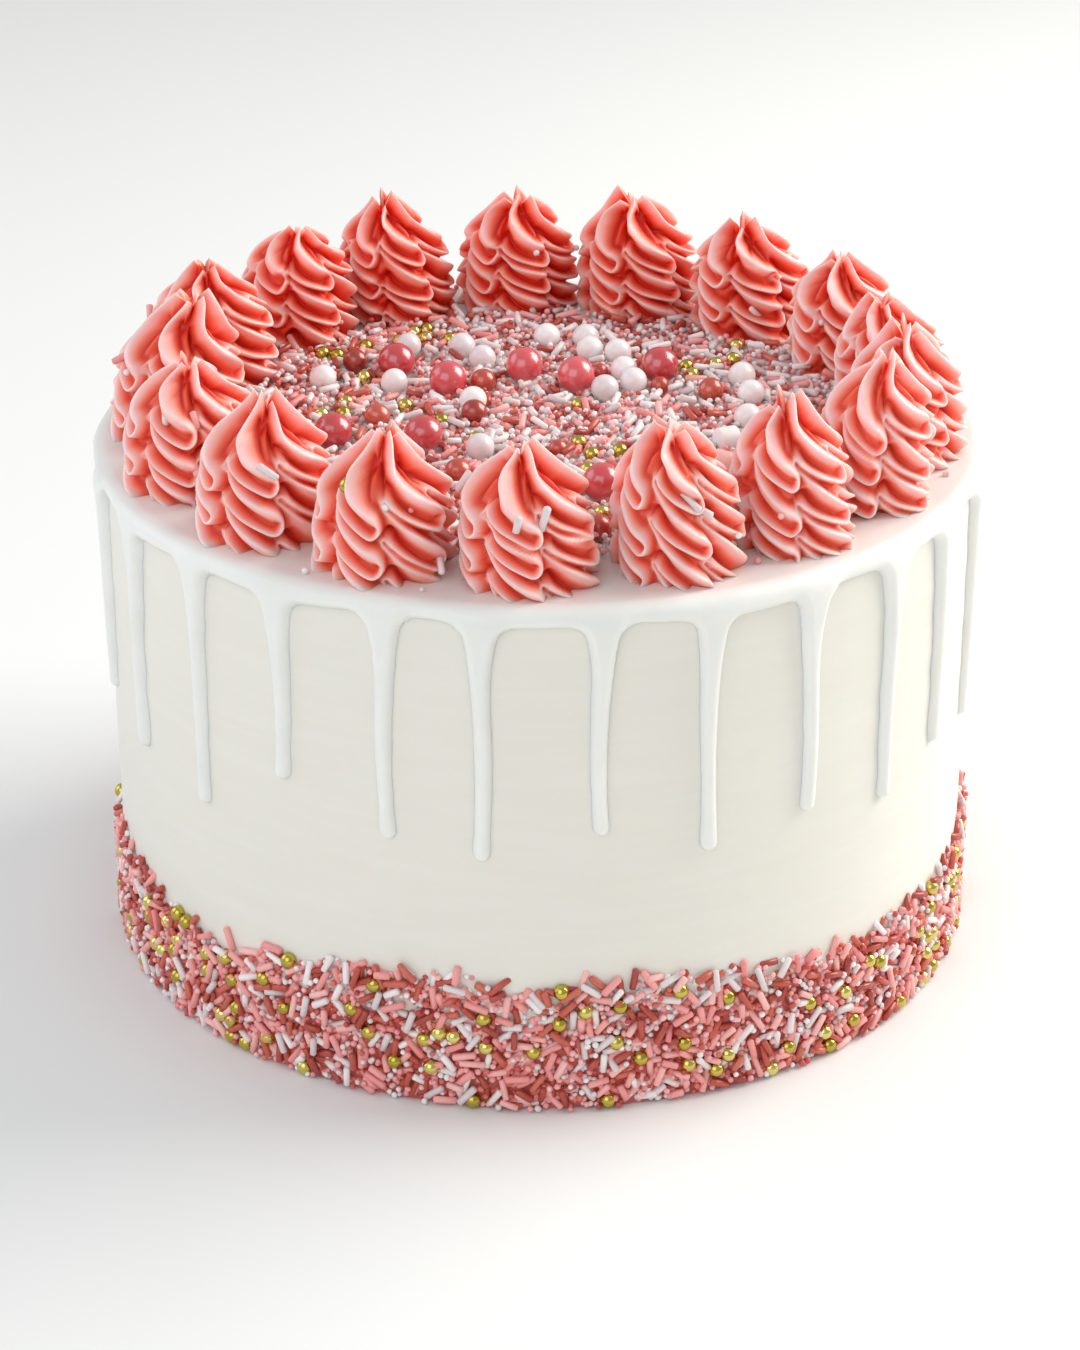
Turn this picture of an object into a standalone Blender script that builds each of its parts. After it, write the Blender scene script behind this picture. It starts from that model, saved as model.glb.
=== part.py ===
"""A tall frosted layer cake: buttercream, a pale glaze that drips, piped swirls and sprinkles.

The cake stands on the ground plane, with the centre of its underside at the origin.
The side that is looked at faces -Y. Every size is in metres and every angle in degrees.
"""
import math
import random

import bmesh
import bpy
from mathutils import Matrix, Vector

# Driving dimensions of the cake
CAKE_RADIUS = 0.1047
CAKE_HEIGHT = 0.1237
RIM_ROUND = 0.0026
GAP = 0.0003
GLAZE_THICK = 0.0018
RIM_SWELL = 0.0007
GLAZE_TOP = CAKE_HEIGHT + GAP + GLAZE_THICK

# The band of sprinkles round the foot
BAND_CORE_THICK = 0.0013
BAND_CORE_HEIGHT = 0.0205
BAND_CHAMFER = 0.0018
BAND_PIECES = 60
BAND_BALL_EVERY = 5

# The drips: each flares out under the rim, given as half width and drop below the rim's curve.
# The front ones are the angle of each and the height of its end
DRIP_WIDTH = 0.0038
DRIP_END_ROUND = 0.0015
DRIP_FLARE = ((0.0046, 0.0016), (0.0027, 0.0090))
ARCH_RUN = 0.0040
FRONT_DRIPS = (
    (194.5, 0.0690), (208.5, 0.0651), (223.2, 0.0615), (237.0, 0.0761), (251.2, 0.0672),
    (263.0, 0.0641), (277.3, 0.0705), (290.7, 0.0635), (304.7, 0.0673), (318.5, 0.0616),
    (330.7, 0.0668), (344.5, 0.0624),
)
BACK_DRIPS = 14
BACK_DRIP_ENDS = (0.0600, 0.0780)

# The piped swirls: angle about the cake, height, and lean of the tip towards +X
RING_RADIUS = 0.0872
TIP_RING_RADIUS = 0.0843
SWIRL_RADIUS = 0.0163
SWIRL_RIBS = 8
SWIRL_FOLDS = 3
FOLD_ZONE = 0.56
FOLD_SWING = 40.0
GROOVE_RATIO = 0.55
SWIRLS = (
    (135.2, 0.0335, -0.0013), (115.0, 0.0345, -0.0047), (93.9, 0.0330, 0.0000),
    (72.5, 0.0348, -0.0018), (50.6, 0.0320, -0.0022), (28.5, 0.0320, 0.0000),
    (8.8, 0.0295, -0.0013), (349.2, 0.0333, 0.0020), (329.5, 0.0367, 0.0053),
    (309.9, 0.0343, -0.0005), (290.2, 0.0348, -0.0013), (268.6, 0.0323, -0.0022),
    (247.2, 0.0315, -0.0008), (225.4, 0.0335, -0.0013), (203.7, 0.0325, -0.0027),
    (181.0, 0.0350, 0.0025), (157.4, 0.0310, -0.0040),
)

# The sugar balls on top: radius of each kind, and where each ball lies
PINK_RADIUS = 0.0046
WHITE_RADIUS = 0.0034
COPPER_RADIUS = 0.00315
SMALL_COPPER_RADIUS = 0.0023
GOLD_RADIUS = 0.0018
PINK_BALLS = (
    (-0.0356, 0.0310), (-0.0225, 0.0185), (-0.0039, 0.0282), (0.0088, 0.0213),
    (0.0296, 0.0282), (-0.0487, -0.0157), (-0.0274, -0.0176), (0.0141, -0.0468),
)
WHITE_BALLS = (
    (-0.0533, 0.0224), (-0.0332, 0.0449), (-0.0357, 0.0196), (-0.0196, 0.0449),
    (-0.0144, 0.0363), (0.0018, 0.0521), (0.0116, 0.0514), (0.0125, 0.0427),
    (0.0195, 0.0406), (0.0158, 0.0155), (0.0229, 0.0206), (0.0208, 0.0282),
    (0.0497, 0.0244), (0.0512, 0.0122), (0.0496, -0.0037), (-0.0162, 0.0076),
    (-0.0140, -0.0227),
)
COPPER_BALLS = (
    (-0.0389, -0.0024), (-0.0158, 0.0002), (-0.0140, 0.0209), (-0.0188, -0.0368),
    (-0.0460, 0.0348), (0.0416, 0.0148), (0.0128, -0.0695),
)
SMALL_COPPER_BALLS = ((0.0147, 0.0292), (0.0294, 0.0202), (0.0042, -0.0209))
GOLD_BALLS = (
    (-0.0509, 0.0420), (-0.0322, 0.0587), (-0.0290, 0.0543), (-0.0159, 0.0321),
    (-0.0470, 0.0096), (-0.0473, 0.0023), (-0.0326, 0.0076), (-0.0225, -0.0213),
    (-0.0231, -0.0407), (0.0436, 0.0356), (0.0483, 0.0392), (0.0376, 0.0286),
    (0.0092, -0.0163), (0.0121, -0.0237), (0.0139, -0.0582),
)

# The two chunky sugar pieces, and the rods scattered among the balls
CHUNK_RADIUS = 0.0030
CHUNK_LENGTH = 0.0062
WHITE_CHUNK = (0.0440, -0.0167)
PINK_CHUNK = (0.0425, -0.0316)
ROD_RADIUS = 0.0009
ROD_LENGTH = 0.0066
ROD_SIDES = 6
TOP_RODS = 24
TOP_FIELD = 0.0620

SEED = 17


def remove_scene_objects():
    for old in list(bpy.data.objects):
        bpy.data.objects.remove(old, do_unlink=True)


def new_collection(name):
    collection = bpy.data.collections.new(name)
    bpy.context.scene.collection.children.link(collection)
    return collection


def srgb(code):
    """The linear colour of a hex code."""
    channels = [int(code[i:i + 2], 16) / 255.0 for i in (1, 3, 5)]
    linear = [c / 12.92 if c <= 0.04045 else ((c + 0.055) / 1.055) ** 2.4 for c in channels]
    return (*linear, 1.0)


def make_material(name, code, roughness, metallic=0.0):
    material = bpy.data.materials.new(name)
    material.use_nodes = True
    shader = material.node_tree.nodes["Principled BSDF"]
    shader.inputs["Base Color"].default_value = srgb(code)
    shader.inputs["Roughness"].default_value = roughness
    shader.inputs["Metallic"].default_value = metallic
    return material


def add_object(name, bm, material, collection, location=(0.0, 0.0, 0.0)):
    """Makes an object of a closed bmesh, with every face pointing out."""
    if bm.calc_volume(signed=True) < 0.0:
        bmesh.ops.reverse_faces(bm, faces=bm.faces)
    mesh = bpy.data.meshes.new(name)
    bm.to_mesh(mesh)
    bm.free()
    mesh.materials.append(material)
    mesh.shade_smooth()
    mesh.set_sharp_from_angle(angle=math.radians(40.0))
    made = bpy.data.objects.new(name, mesh)
    made.location = location
    collection.objects.link(made)
    return made


def loft(bm, rings):
    """Closes a stack of rings, each with the same number of points, into one skin."""
    loops = [[bm.verts.new(point) for point in ring] for ring in rings]
    count = len(loops[0])
    for lower, upper in zip(loops, loops[1:]):
        for i in range(count):
            j = (i + 1) % count
            bm.faces.new((lower[i], lower[j], upper[j], upper[i]))
    bm.faces.new(loops[0][::-1])
    bm.faces.new(loops[-1])
    bmesh.ops.triangulate(bm, faces=bm.faces)


def polar(angle, radius):
    turn = math.radians(angle)
    return radius * math.cos(turn), radius * math.sin(turn)


def skin_point(run, lift):
    """A point above the cake's skin: the run goes from the flat top's edge over the rim and down."""
    flat_radius = CAKE_RADIUS - RIM_ROUND
    arc = RIM_ROUND * math.pi / 2
    if run < arc:
        turn = run / RIM_ROUND
        radius = flat_radius + (RIM_ROUND + lift) * math.sin(turn)
        return radius, CAKE_HEIGHT - RIM_ROUND + (RIM_ROUND + lift) * math.cos(turn)
    return CAKE_RADIUS + lift, CAKE_HEIGHT - RIM_ROUND - (run - arc)


def rod_shape(bm, centre, direction, length, radius):
    """A small six-sided rod about its centre."""
    turn = Vector((0.0, 0.0, 1.0)).rotation_difference(Vector(direction)).to_matrix().to_4x4()
    bmesh.ops.create_cone(
        bm, cap_ends=True, segments=ROD_SIDES, radius1=radius, radius2=radius,
        depth=length, matrix=Matrix.Translation(centre) @ turn)


def ball_shape(bm, centre, radius):
    """A small faceted ball about its centre."""
    bmesh.ops.create_icosphere(
        bm, subdivisions=1, radius=radius, matrix=Matrix.Translation(centre))


def fuse(base, toppings):
    """Joins a collection of small pieces to the thing that they lie on."""
    union = base.modifiers.new("Fused toppings", "BOOLEAN")
    union.operation = "UNION"
    union.operand_type = "COLLECTION"
    union.collection = toppings
    union.solver = "EXACT"
    evaluated = base.evaluated_get(bpy.context.evaluated_depsgraph_get())
    fused = bpy.data.meshes.new_from_object(evaluated)
    base.modifiers.remove(union)
    base.data = fused
    for piece in list(toppings.objects):
        bpy.data.objects.remove(piece, do_unlink=True)
    bpy.data.collections.remove(toppings)


def distance(a, b):
    return math.hypot(a[0] - b[0], a[1] - b[1])


def cake_body(collection, material):
    """The frosted cake with the core of its sprinkle band, as one turned profile."""
    foot = CAKE_RADIUS + BAND_CORE_THICK
    rim = [skin_point(RIM_ROUND * math.radians(step), 0.0) for step in (0, 45, 90)]
    profile = [(0.0, CAKE_HEIGHT), *rim,
               (CAKE_RADIUS, BAND_CORE_HEIGHT + BAND_CHAMFER), (foot, BAND_CORE_HEIGHT),
               (foot, 0.0), (0.0, 0.0)]
    mesh = bpy.data.meshes.new("cake_body")
    edges = [(i, i + 1) for i in range(len(profile) - 1)]
    mesh.from_pydata([(x, 0.0, z) for x, z in profile], edges, [])
    body = bpy.data.objects.new("cake_body", mesh)
    collection.objects.link(body)
    screw = body.modifiers.new("Turned", "SCREW")
    screw.steps = 64
    screw.render_steps = 64
    screw.use_merge_vertices = True
    screw.merge_threshold = 0.00001
    turned = bpy.data.meshes.new_from_object(
        body.evaluated_get(bpy.context.evaluated_depsgraph_get()))
    body.modifiers.remove(screw)
    body.data = turned
    turned.materials.append(material)
    turned.shade_smooth()
    turned.set_sharp_from_angle(angle=math.radians(40.0))
    return body


def band_toppings(rng, material):
    """Rods and balls that stand out of the sprinkle band, spread evenly round the foot."""
    toppings = new_collection("band toppings")
    surface = CAKE_RADIUS + BAND_CORE_THICK
    heights = (0.0045, 0.0175, 0.0105, 0.0230)
    for i in range(BAND_PIECES):
        angle = 360.0 * (i + 0.25 * rng.uniform(-1.0, 1.0)) / BAND_PIECES
        z = heights[i % len(heights)] + rng.uniform(-0.0008, 0.0008)
        under = CAKE_RADIUS if z > BAND_CORE_HEIGHT else surface
        bm = bmesh.new()
        if i % BAND_BALL_EVERY == 0:
            x, y = polar(angle, under + 0.3 * GOLD_RADIUS)
            ball_shape(bm, (x, y, z), GOLD_RADIUS)
        else:
            x, y = polar(angle, under + 0.3 * ROD_RADIUS)
            slope = math.radians(rng.uniform(-35.0, 35.0))
            side = math.radians(angle + 90.0)
            direction = (math.cos(side) * math.cos(slope), math.sin(side) * math.cos(slope),
                         math.sin(slope))
            rod_shape(bm, (x, y, z), direction, ROD_LENGTH, ROD_RADIUS)
        add_object("topping", bm, material, toppings)
    return toppings


def drip_list(rng):
    """The angle and the lowest height of every drip, in order round the cake."""
    first = FRONT_DRIPS[-1][0] - 360.0
    pitch = (FRONT_DRIPS[0][0] - first) / (BACK_DRIPS + 1)
    back = []
    for i in range(BACK_DRIPS):
        angle = first + pitch * (i + 1 + rng.uniform(-0.12, 0.12))
        back.append((angle, rng.uniform(*BACK_DRIP_ENDS)))
    return back + list(FRONT_DRIPS)


def glaze_columns(drips):
    """The glaze's lower edge: angle and run of each column, eight for every drip."""
    arc = RIM_ROUND * math.pi / 2
    per_metre = math.degrees(1.0 / CAKE_RADIUS)
    columns = []
    for index, (angle, end) in enumerate(drips):
        run = arc + CAKE_HEIGHT - RIM_ROUND - end
        side = [(width, arc + drop) for width, drop in DRIP_FLARE]
        side.append((DRIP_WIDTH / 2, run - DRIP_END_ROUND))
        columns += [(angle - width * per_metre, edge) for width, edge in side]
        columns.append((angle, run))
        columns += [(angle + width * per_metre, edge) for width, edge in reversed(side)]
        following = drips[(index + 1) % len(drips)][0]
        columns.append((angle + ((following - angle) % 360.0) / 2, ARCH_RUN))
    return columns


def drip_glaze(collection, material, drips):
    """A thin skin of glaze over the top and the rim, with its drips."""
    arc = RIM_ROUND * math.pi / 2
    top = GAP + GLAZE_THICK
    outer = top + RIM_SWELL
    rings = [[] for _ in range(9)]
    for angle, edge in glaze_columns(drips):
        lip = edge - min(0.0015, 0.1 * edge)
        over = min(arc, (arc / 2 + lip) / 2)
        steps = [(0.0, GAP), (arc / 2, GAP), (over, GAP), (lip, GAP),
                 (edge, GAP + GLAZE_THICK / 2),
                 (lip, outer), (over, outer), (arc / 2, top + RIM_SWELL / 2), (0.0, top)]
        for ring, (run, lift) in zip(rings, steps):
            radius, z = skin_point(run, lift)
            ring.append((*polar(angle, radius), z))
    bm = bmesh.new()
    loft(bm, rings)
    return add_object("drip_glaze", bm, material, collection)


def swirl_place(index):
    return polar(SWIRLS[index][0], RING_RADIUS)


def swirl_radius(index):
    """As wide as the neighbours allow, up to the nozzle's usual width."""
    here = swirl_place(index)
    beside = (swirl_place(index - 1), swirl_place((index + 1) % len(SWIRLS)))
    return min(SWIRL_RADIUS, min(distance(here, other) for other in beside) / 2 - GAP / 2)


def swirl_rows(height):
    """The rows of one swirl: height, share of its radius, and turn of its ribs.

    The nozzle was shaken from side to side, so the ribs run out to a tongue and fold
    back under it, once for each fold. A tall plain cap runs up to the tip.
    """
    pitch = FOLD_ZONE * height / SWIRL_FOLDS
    rows = [(0.0, 0.95, 0.2 * FOLD_SWING)]
    for fold in range(SWIRL_FOLDS):
        narrowing = 0.05 * fold
        rows.append(((fold + 0.72) * pitch, 0.87 - narrowing, -0.5 * FOLD_SWING))
        rows.append(((fold + 1.00) * pitch, 1.00 - narrowing, 0.5 * FOLD_SWING))
    for share, width, turn in ((0.72, 0.64, -0.10), (0.88, 0.34, -0.22), (1.00, 0.09, 0.0)):
        rows.append((share * height, width, turn * FOLD_SWING))
    return rows


def piped_swirl(collection, material, index, rng):
    """One piped swirl: a star of ribs and grooves lofted up its folded rows."""
    angle, height, lean = SWIRLS[index]
    radius = swirl_radius(index)
    start = rng.uniform(0.0, 360.0 / SWIRL_RIBS)
    inward_x, inward_y = polar(angle, TIP_RING_RADIUS - RING_RADIUS)
    rings = []
    for z, width, turn in swirl_rows(height):
        bend = (z / height) ** 1.5
        ring = []
        for point in range(2 * SWIRL_RIBS):
            reach = radius * width * (1.0 if point % 2 == 0 else GROOVE_RATIO)
            x, y = polar(start + turn + point * 180.0 / SWIRL_RIBS, reach)
            ring.append((x + bend * (inward_x + lean), y + bend * inward_y, z))
        rings.append(ring)
    bm = bmesh.new()
    loft(bm, rings)
    place = (*swirl_place(index), GLAZE_TOP + GAP)
    return add_object(f"swirl_{index + 1:02d}", bm, material, collection, place)


def sugar_ball(collection, material, name, place, radius, segments, rings):
    bm = bmesh.new()
    bmesh.ops.create_uvsphere(bm, u_segments=segments, v_segments=rings, radius=radius)
    location = (*place, GLAZE_TOP + GAP + radius)
    return add_object(name, bm, material, collection, location)


def sugar_chunk(collection, material, name, place, angle):
    """A short thick sugar cylinder that lies on its side."""
    bm = bmesh.new()
    side = (*polar(angle, 1.0), 0.0)
    rod_shape(bm, (0.0, 0.0, 0.0), side, CHUNK_LENGTH, CHUNK_RADIUS)
    return add_object(name, bm, material, collection, (*place, GLAZE_TOP + GAP + CHUNK_RADIUS))


def ball_kinds():
    """Every kind of loose sugar ball: name, places, radius, segments and rings."""
    return (
        ("pink_ball", PINK_BALLS, PINK_RADIUS, 8, 6),
        ("white_ball", WHITE_BALLS, WHITE_RADIUS, 6, 5),
        ("copper_ball", COPPER_BALLS, COPPER_RADIUS, 6, 5),
        ("small_copper_ball", SMALL_COPPER_BALLS, SMALL_COPPER_RADIUS, 6, 5),
    )


def top_toppings(rng, material):
    """Gold balls and rods that lie on the glaze, clear of each loose piece."""
    toppings = new_collection("top toppings")
    taken = []
    for _, places, radius, _, _ in ball_kinds():
        taken += [(place, radius) for place in places]
    taken += [(place, CHUNK_LENGTH * 0.75) for place in (WHITE_CHUNK, PINK_CHUNK)]
    taken += [(swirl_place(i), swirl_radius(i)) for i in range(len(SWIRLS))]

    def clear(place, reach):
        return all(distance(place, other) > reach + size + 2 * GAP for other, size in taken)

    for place in GOLD_BALLS:
        if clear(place, GOLD_RADIUS):
            bm = bmesh.new()
            ball_shape(bm, (*place, GLAZE_TOP + 0.45 * GOLD_RADIUS), GOLD_RADIUS)
            add_object("topping", bm, material, toppings)
            taken.append((place, GOLD_RADIUS))
    rods = 0
    for _ in range(4000):
        place = polar(rng.uniform(0.0, 360.0), TOP_FIELD * math.sqrt(rng.random()))
        if rods == TOP_RODS:
            break
        if clear(place, ROD_LENGTH / 2):
            bm = bmesh.new()
            along = (*polar(rng.uniform(0.0, 180.0), 1.0), 0.0)
            rod_shape(bm, (*place, GLAZE_TOP + 0.35 * ROD_RADIUS), along, ROD_LENGTH, ROD_RADIUS)
            add_object("topping", bm, material, toppings)
            taken.append((place, ROD_LENGTH / 2))
            rods += 1
    return toppings


def main():
    remove_scene_objects()
    cake = new_collection("layer cake")
    rng = random.Random(SEED)

    ivory = make_material("ivory buttercream", "#EFEBE2", 0.55)
    glaze_white = make_material("white glaze", "#F1F0EE", 0.30)
    coral = make_material("coral buttercream", "#F39C8B", 0.50)
    ball_materials = {
        "pink_ball": make_material("rose pearl sugar", "#E2697A", 0.30),
        "white_ball": make_material("white pearl sugar", "#F0EBEA", 0.30),
        "copper_ball": make_material("copper pearl sugar", "#B4503C", 0.35),
        "small_copper_ball": make_material("small copper pearl sugar", "#A8483A", 0.35),
    }

    body = cake_body(cake, ivory)
    fuse(body, band_toppings(rng, ivory))
    glaze = drip_glaze(cake, glaze_white, drip_list(rng))
    fuse(glaze, top_toppings(rng, glaze_white))
    for index in range(len(SWIRLS)):
        piped_swirl(cake, coral, index, rng)
    for name, places, radius, segments, rings in ball_kinds():
        for number, place in enumerate(places, 1):
            sugar_ball(cake, ball_materials[name], f"{name}_{number:02d}", place, radius,
                       segments, rings)
    sugar_chunk(cake, ball_materials["white_ball"], "white_chunk", WHITE_CHUNK, 25.0)
    sugar_chunk(cake, ball_materials["pink_ball"], "pink_chunk", PINK_CHUNK, -40.0)


main()
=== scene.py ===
"""Looks of a tall frosted layer cake with a white drip glaze, piped coral swirls and sprinkles.

Every size is in metres and every angle in degrees. The side that is looked at faces -Y.
"""
import math
import random

import bmesh
import bpy
import numpy as np
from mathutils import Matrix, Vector
from mathutils.bvhtree import BVHTree


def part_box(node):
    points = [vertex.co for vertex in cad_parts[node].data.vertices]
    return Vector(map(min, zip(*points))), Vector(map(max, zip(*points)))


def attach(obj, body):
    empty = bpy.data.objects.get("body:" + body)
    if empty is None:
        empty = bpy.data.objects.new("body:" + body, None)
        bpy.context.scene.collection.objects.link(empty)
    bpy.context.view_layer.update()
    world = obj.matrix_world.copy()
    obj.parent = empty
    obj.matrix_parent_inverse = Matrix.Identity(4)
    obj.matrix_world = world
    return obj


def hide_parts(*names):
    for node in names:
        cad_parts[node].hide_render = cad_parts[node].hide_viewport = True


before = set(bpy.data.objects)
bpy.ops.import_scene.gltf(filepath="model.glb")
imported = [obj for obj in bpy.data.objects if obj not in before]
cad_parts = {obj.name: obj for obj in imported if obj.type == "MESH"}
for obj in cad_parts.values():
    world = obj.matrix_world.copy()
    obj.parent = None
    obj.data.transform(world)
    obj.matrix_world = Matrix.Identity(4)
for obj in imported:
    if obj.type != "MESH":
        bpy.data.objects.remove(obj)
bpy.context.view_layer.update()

# The cake, its rim and its glaze
CAKE_RADIUS = 0.1047
CAKE_HEIGHT = 0.1237
RIM_ROUND = 0.0026
RIM_ARC = RIM_ROUND * math.pi / 2
GLAZE_LIFT = 0.0021
RIM_LIFT = 0.0028
GLAZE_TOP = CAKE_HEIGHT + GLAZE_LIFT
CAKE_COLUMNS = 360
SCRAPER_WAVE = 0.00003

# The drips in front: the angle of each and the height of its end; the back has more of them
FRONT_DRIPS = (
    (194.5, 0.0690), (208.5, 0.0651), (223.2, 0.0615), (237.0, 0.0761), (251.2, 0.0672),
    (263.0, 0.0641), (277.3, 0.0705), (290.7, 0.0635), (304.7, 0.0673), (318.5, 0.0616),
    (330.7, 0.0668), (344.5, 0.0624),
)
# How far the width of a ragged drip swells and shrinks, by its angle
RAGGED_DRIPS = {194.5: 0.34, 208.5: 0.30}
BACK_DRIPS = 14
BACK_DRIP_ENDS = (0.0600, 0.0780)
DRIP_HALF = 0.00175
DRIP_FLARE = 0.0026
FLARE_RUN = 0.0090
DRIP_LIFT = 0.0023
ARCH_RUN = 0.0040
ARCH_BLEND = 0.0040
GLAZE_EDGE = 0.0019
DRIP_REACH = 0.0052
DRIP_STEPS = 30
# The glaze's rows lie close over the rim and about the drip ends, and further apart between
RIM_RUN = 0.0150
END_RUN = 0.0045
DRIP_NEAR = 0.016
GLAZE_UNDER = -0.0010

# The piped swirls. Each row of the list is the angle about the cake, the height, and how far the
# tip leans towards +X
RING_RADIUS = 0.0872
TIP_RING_RADIUS = 0.0843
SWIRL_RADIUS = 0.0163
SWIRL_CLEAR = 0.00015
SWIRL_PRESS = 1.05
SWIRL_SINK = 0.0002
RIBS = 6
SWIRLS = (
    (135.2, 0.0335, -0.0013), (115.0, 0.0345, -0.0047), (93.9, 0.0330, 0.0000),
    (72.5, 0.0348, -0.0018), (50.6, 0.0320, -0.0022), (28.5, 0.0320, 0.0000),
    (8.8, 0.0295, -0.0013), (349.2, 0.0333, 0.0020), (329.5, 0.0367, 0.0053),
    (309.9, 0.0343, -0.0005), (290.2, 0.0348, -0.0013), (268.6, 0.0323, -0.0022),
    (247.2, 0.0315, -0.0008), (225.4, 0.0335, -0.0013), (203.7, 0.0325, -0.0027),
    (181.0, 0.0350, 0.0025), (157.4, 0.0310, -0.0040),
)
# Painted shade and light on the coral: deeper in the swirls at the back, whose fronts are in shade,
# and paler in those on the right, towards the window
BACK_PAINTED_SHADE = 0.13
RIGHT_PAINTED_LIGHT = 0.07
# The ribs are laid out flat, one beside the other, before they are wound round the swirl
UNROLLED_RADIUS = 0.015
RIB_SPACING = 2 * math.pi * UNROLLED_RADIUS / RIBS
# The outline of a swirl: shares of its height and its radius
SWIRL_OUTLINE = (
    (0.00, 1.00), (0.12, 1.00), (0.30, 0.985), (0.45, 0.95), (0.57, 0.88), (0.67, 0.74),
    (0.77, 0.55), (0.87, 0.37), (0.94, 0.26), (1.00, 0.17),
)
# The folds: how far apart, how steep in front and behind, and the finger each one ends in
FOLD_PITCH = 0.0086
FRONT_SLANT = 0.21
BACK_SLANT = 0.05
FINGER_END = 0.0059
FINGER_ROUND = 0.0026
TURN_CENTRE = -0.0062
TURN_ROUND = 0.0010
# How far the creases keep from a rib
OUTER_CREASE = 0.0012
INNER_CREASE = 0.0010

# Scattered sugar: radius and length of each kind
ROD_RADIUS = 0.00086
ROD_LENGTH = 0.0054
DOT_RADIUS = 0.00075
GOLD_RADIUS = 0.0019
# The gold balls that stand out on the top, and where each lies
GOLD_BALLS = (
    (-0.0509, 0.0420), (-0.0322, 0.0587), (-0.0290, 0.0543), (-0.0159, 0.0321),
    (-0.0470, 0.0096), (-0.0473, 0.0023), (-0.0326, 0.0076), (-0.0225, -0.0213),
    (-0.0231, -0.0407), (0.0436, 0.0356), (0.0483, 0.0392), (0.0376, 0.0286),
    (0.0092, -0.0163), (0.0121, -0.0237), (0.0139, -0.0582),
)
# Sugar that stuck to the swirls in front: the swirl, the kind, the side it lies on and how high
STUCK = (
    (10, "white_rods", 300.0, 0.48), (11, "white_rods", 260.0, 0.55),
    (11, "white_rods", 287.0, 0.57), (12, "gold_balls", 218.0, 0.66),
    (13, "white_rods", 278.0, 0.56), (14, "white_rods", 246.0, 0.60),
    (14, "pink_rods", 282.0, 0.62),
)
# Sugar finishes: the material, its colours from dark to light, roughness, other values and slot
SUGARS = {
    # shellacked over mica, so the big balls have a broad pearly spot of light
    "rose_balls": ("pearly_rose_sugar", ("#C22833", "#D33A45", "#E2565C"), 0.36,
                   {"coat": 1.0, "glow": 0.2, "speck": 260.0}, "sugar_rose"),
    "white_pearls": ("pearly_white_sugar", ("#E6DEDF", "#F1ECEB", "#FAF7F5"), 0.36,
                     {"coat": 0.5, "glow": 0.4, "speck": 260.0}, "sugar_white"),
    "copper_pearls": ("pearly_copper_sugar", ("#A02816", "#BC3A24", "#CE5A42"), 0.36,
                      {"metallic": 0.3, "coat": 0.7, "speck": 300.0}, "sugar_copper"),
    # pressed sugar: dry and dull, and light passes into it
    "white_chunk": ("matte_white_sugar_chunk", ("#E9E2E0", "#F5F1EF", "#FBF9F8"), 0.45,
                    {"glow": 0.4}, "sugar_white"),
    "pink_chunk": ("matte_pink_sugar_chunk", ("#EDA79E", "#F3B9B0", "#F8CFC8"), 0.45,
                   {"glow": 0.4}, "sugar_rose"),
    # extruded rods: a faint wax sheen
    "white_rods": ("white_sugar_rods", ("#DDD0D0", "#EEE4E3", "#F8F3F1"), 0.42, {},
                   "sugar_white"),
    "pink_rods": ("pink_sugar_rods", ("#EE8F8C", "#F7A8A2", "#FCC3BC"), 0.42, {}, "sugar_rose"),
    "burgundy_rods": ("burgundy_sugar_rods", ("#A63A2C", "#C04C3A", "#D26A54"), 0.38,
                      {"coat": 0.2}, "sugar_copper"),
    # nonpareils: the same sheen on tiny dots
    "white_dots": ("white_sugar_dots", ("#E2D6D6", "#F2EAE9", "#FBF6F4"), 0.40, {},
                   "sugar_white"),
    "pink_dots": ("pink_sugar_dots", ("#F0989A", "#F8B0AE", "#FCC8C4"), 0.40, {}, "sugar_rose"),
    "red_dots": ("coral_red_sugar_dots", ("#BE4440", "#D25E52", "#E37E6C"), 0.38, {},
                 "sugar_copper"),
    # leaf metal over sugar: small sharp lights in olive gold
    "gold_balls": ("gold_leafed_sugar", ("#B8A544", "#CCBA58", "#E4D684"), 0.20,
                   {"metallic": 1.0}, None),
}
# The two short thick cylinders, and which way each points
CHUNK_RADIUS = 0.0030
CHUNK_LENGTH = 0.0062
CHUNK_ANGLES = {"white_chunk": 25.0, "pink_chunk": -40.0}

# The band of sprinkles: its ragged top in front, as angle and height, and its height behind
BAND_TOP = (
    (190.0, 0.0275), (203.7, 0.0272), (216.0, 0.0234), (224.0, 0.0230), (232.0, 0.0250),
    (243.0, 0.0314), (252.6, 0.0301), (259.0, 0.0326), (265.0, 0.0289), (272.0, 0.0278),
    (277.0, 0.0312), (285.0, 0.0309), (293.0, 0.0281), (304.5, 0.0258), (313.0, 0.0239),
    (324.0, 0.0248), (337.0, 0.0242), (350.0, 0.0262),
)
BACK_BAND_TOP = 0.0268
BAND_LIMIT = 0.1074
# Sugar settles into itself: a piece comes to lie as if it were this much thinner
PRESSED = 0.80
CELL = 0.0004

# The viewing angle, fitted to the ellipses of the cake's rim and foot
CAMERA_SPOT = (0.0, -0.7553, 0.42624)
CAMERA_PITCH = 25.93
CAMERA_LENS = 90.06


def srgb(code):
    """The linear colour of a hex code."""
    channels = [int(code[i:i + 2], 16) / 255.0 for i in (1, 3, 5)]
    linear = [c / 12.92 if c <= 0.04045 else ((c + 0.055) / 1.055) ** 2.4 for c in channels]
    return (*linear, 1.0)


def set_inputs(tree, node, inputs):
    """Each input takes a value or a link."""
    for socket, value in inputs.items():
        if isinstance(value, bpy.types.NodeSocket):
            tree.links.new(value, node.inputs[socket])
        else:
            node.inputs[socket].default_value = value


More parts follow.
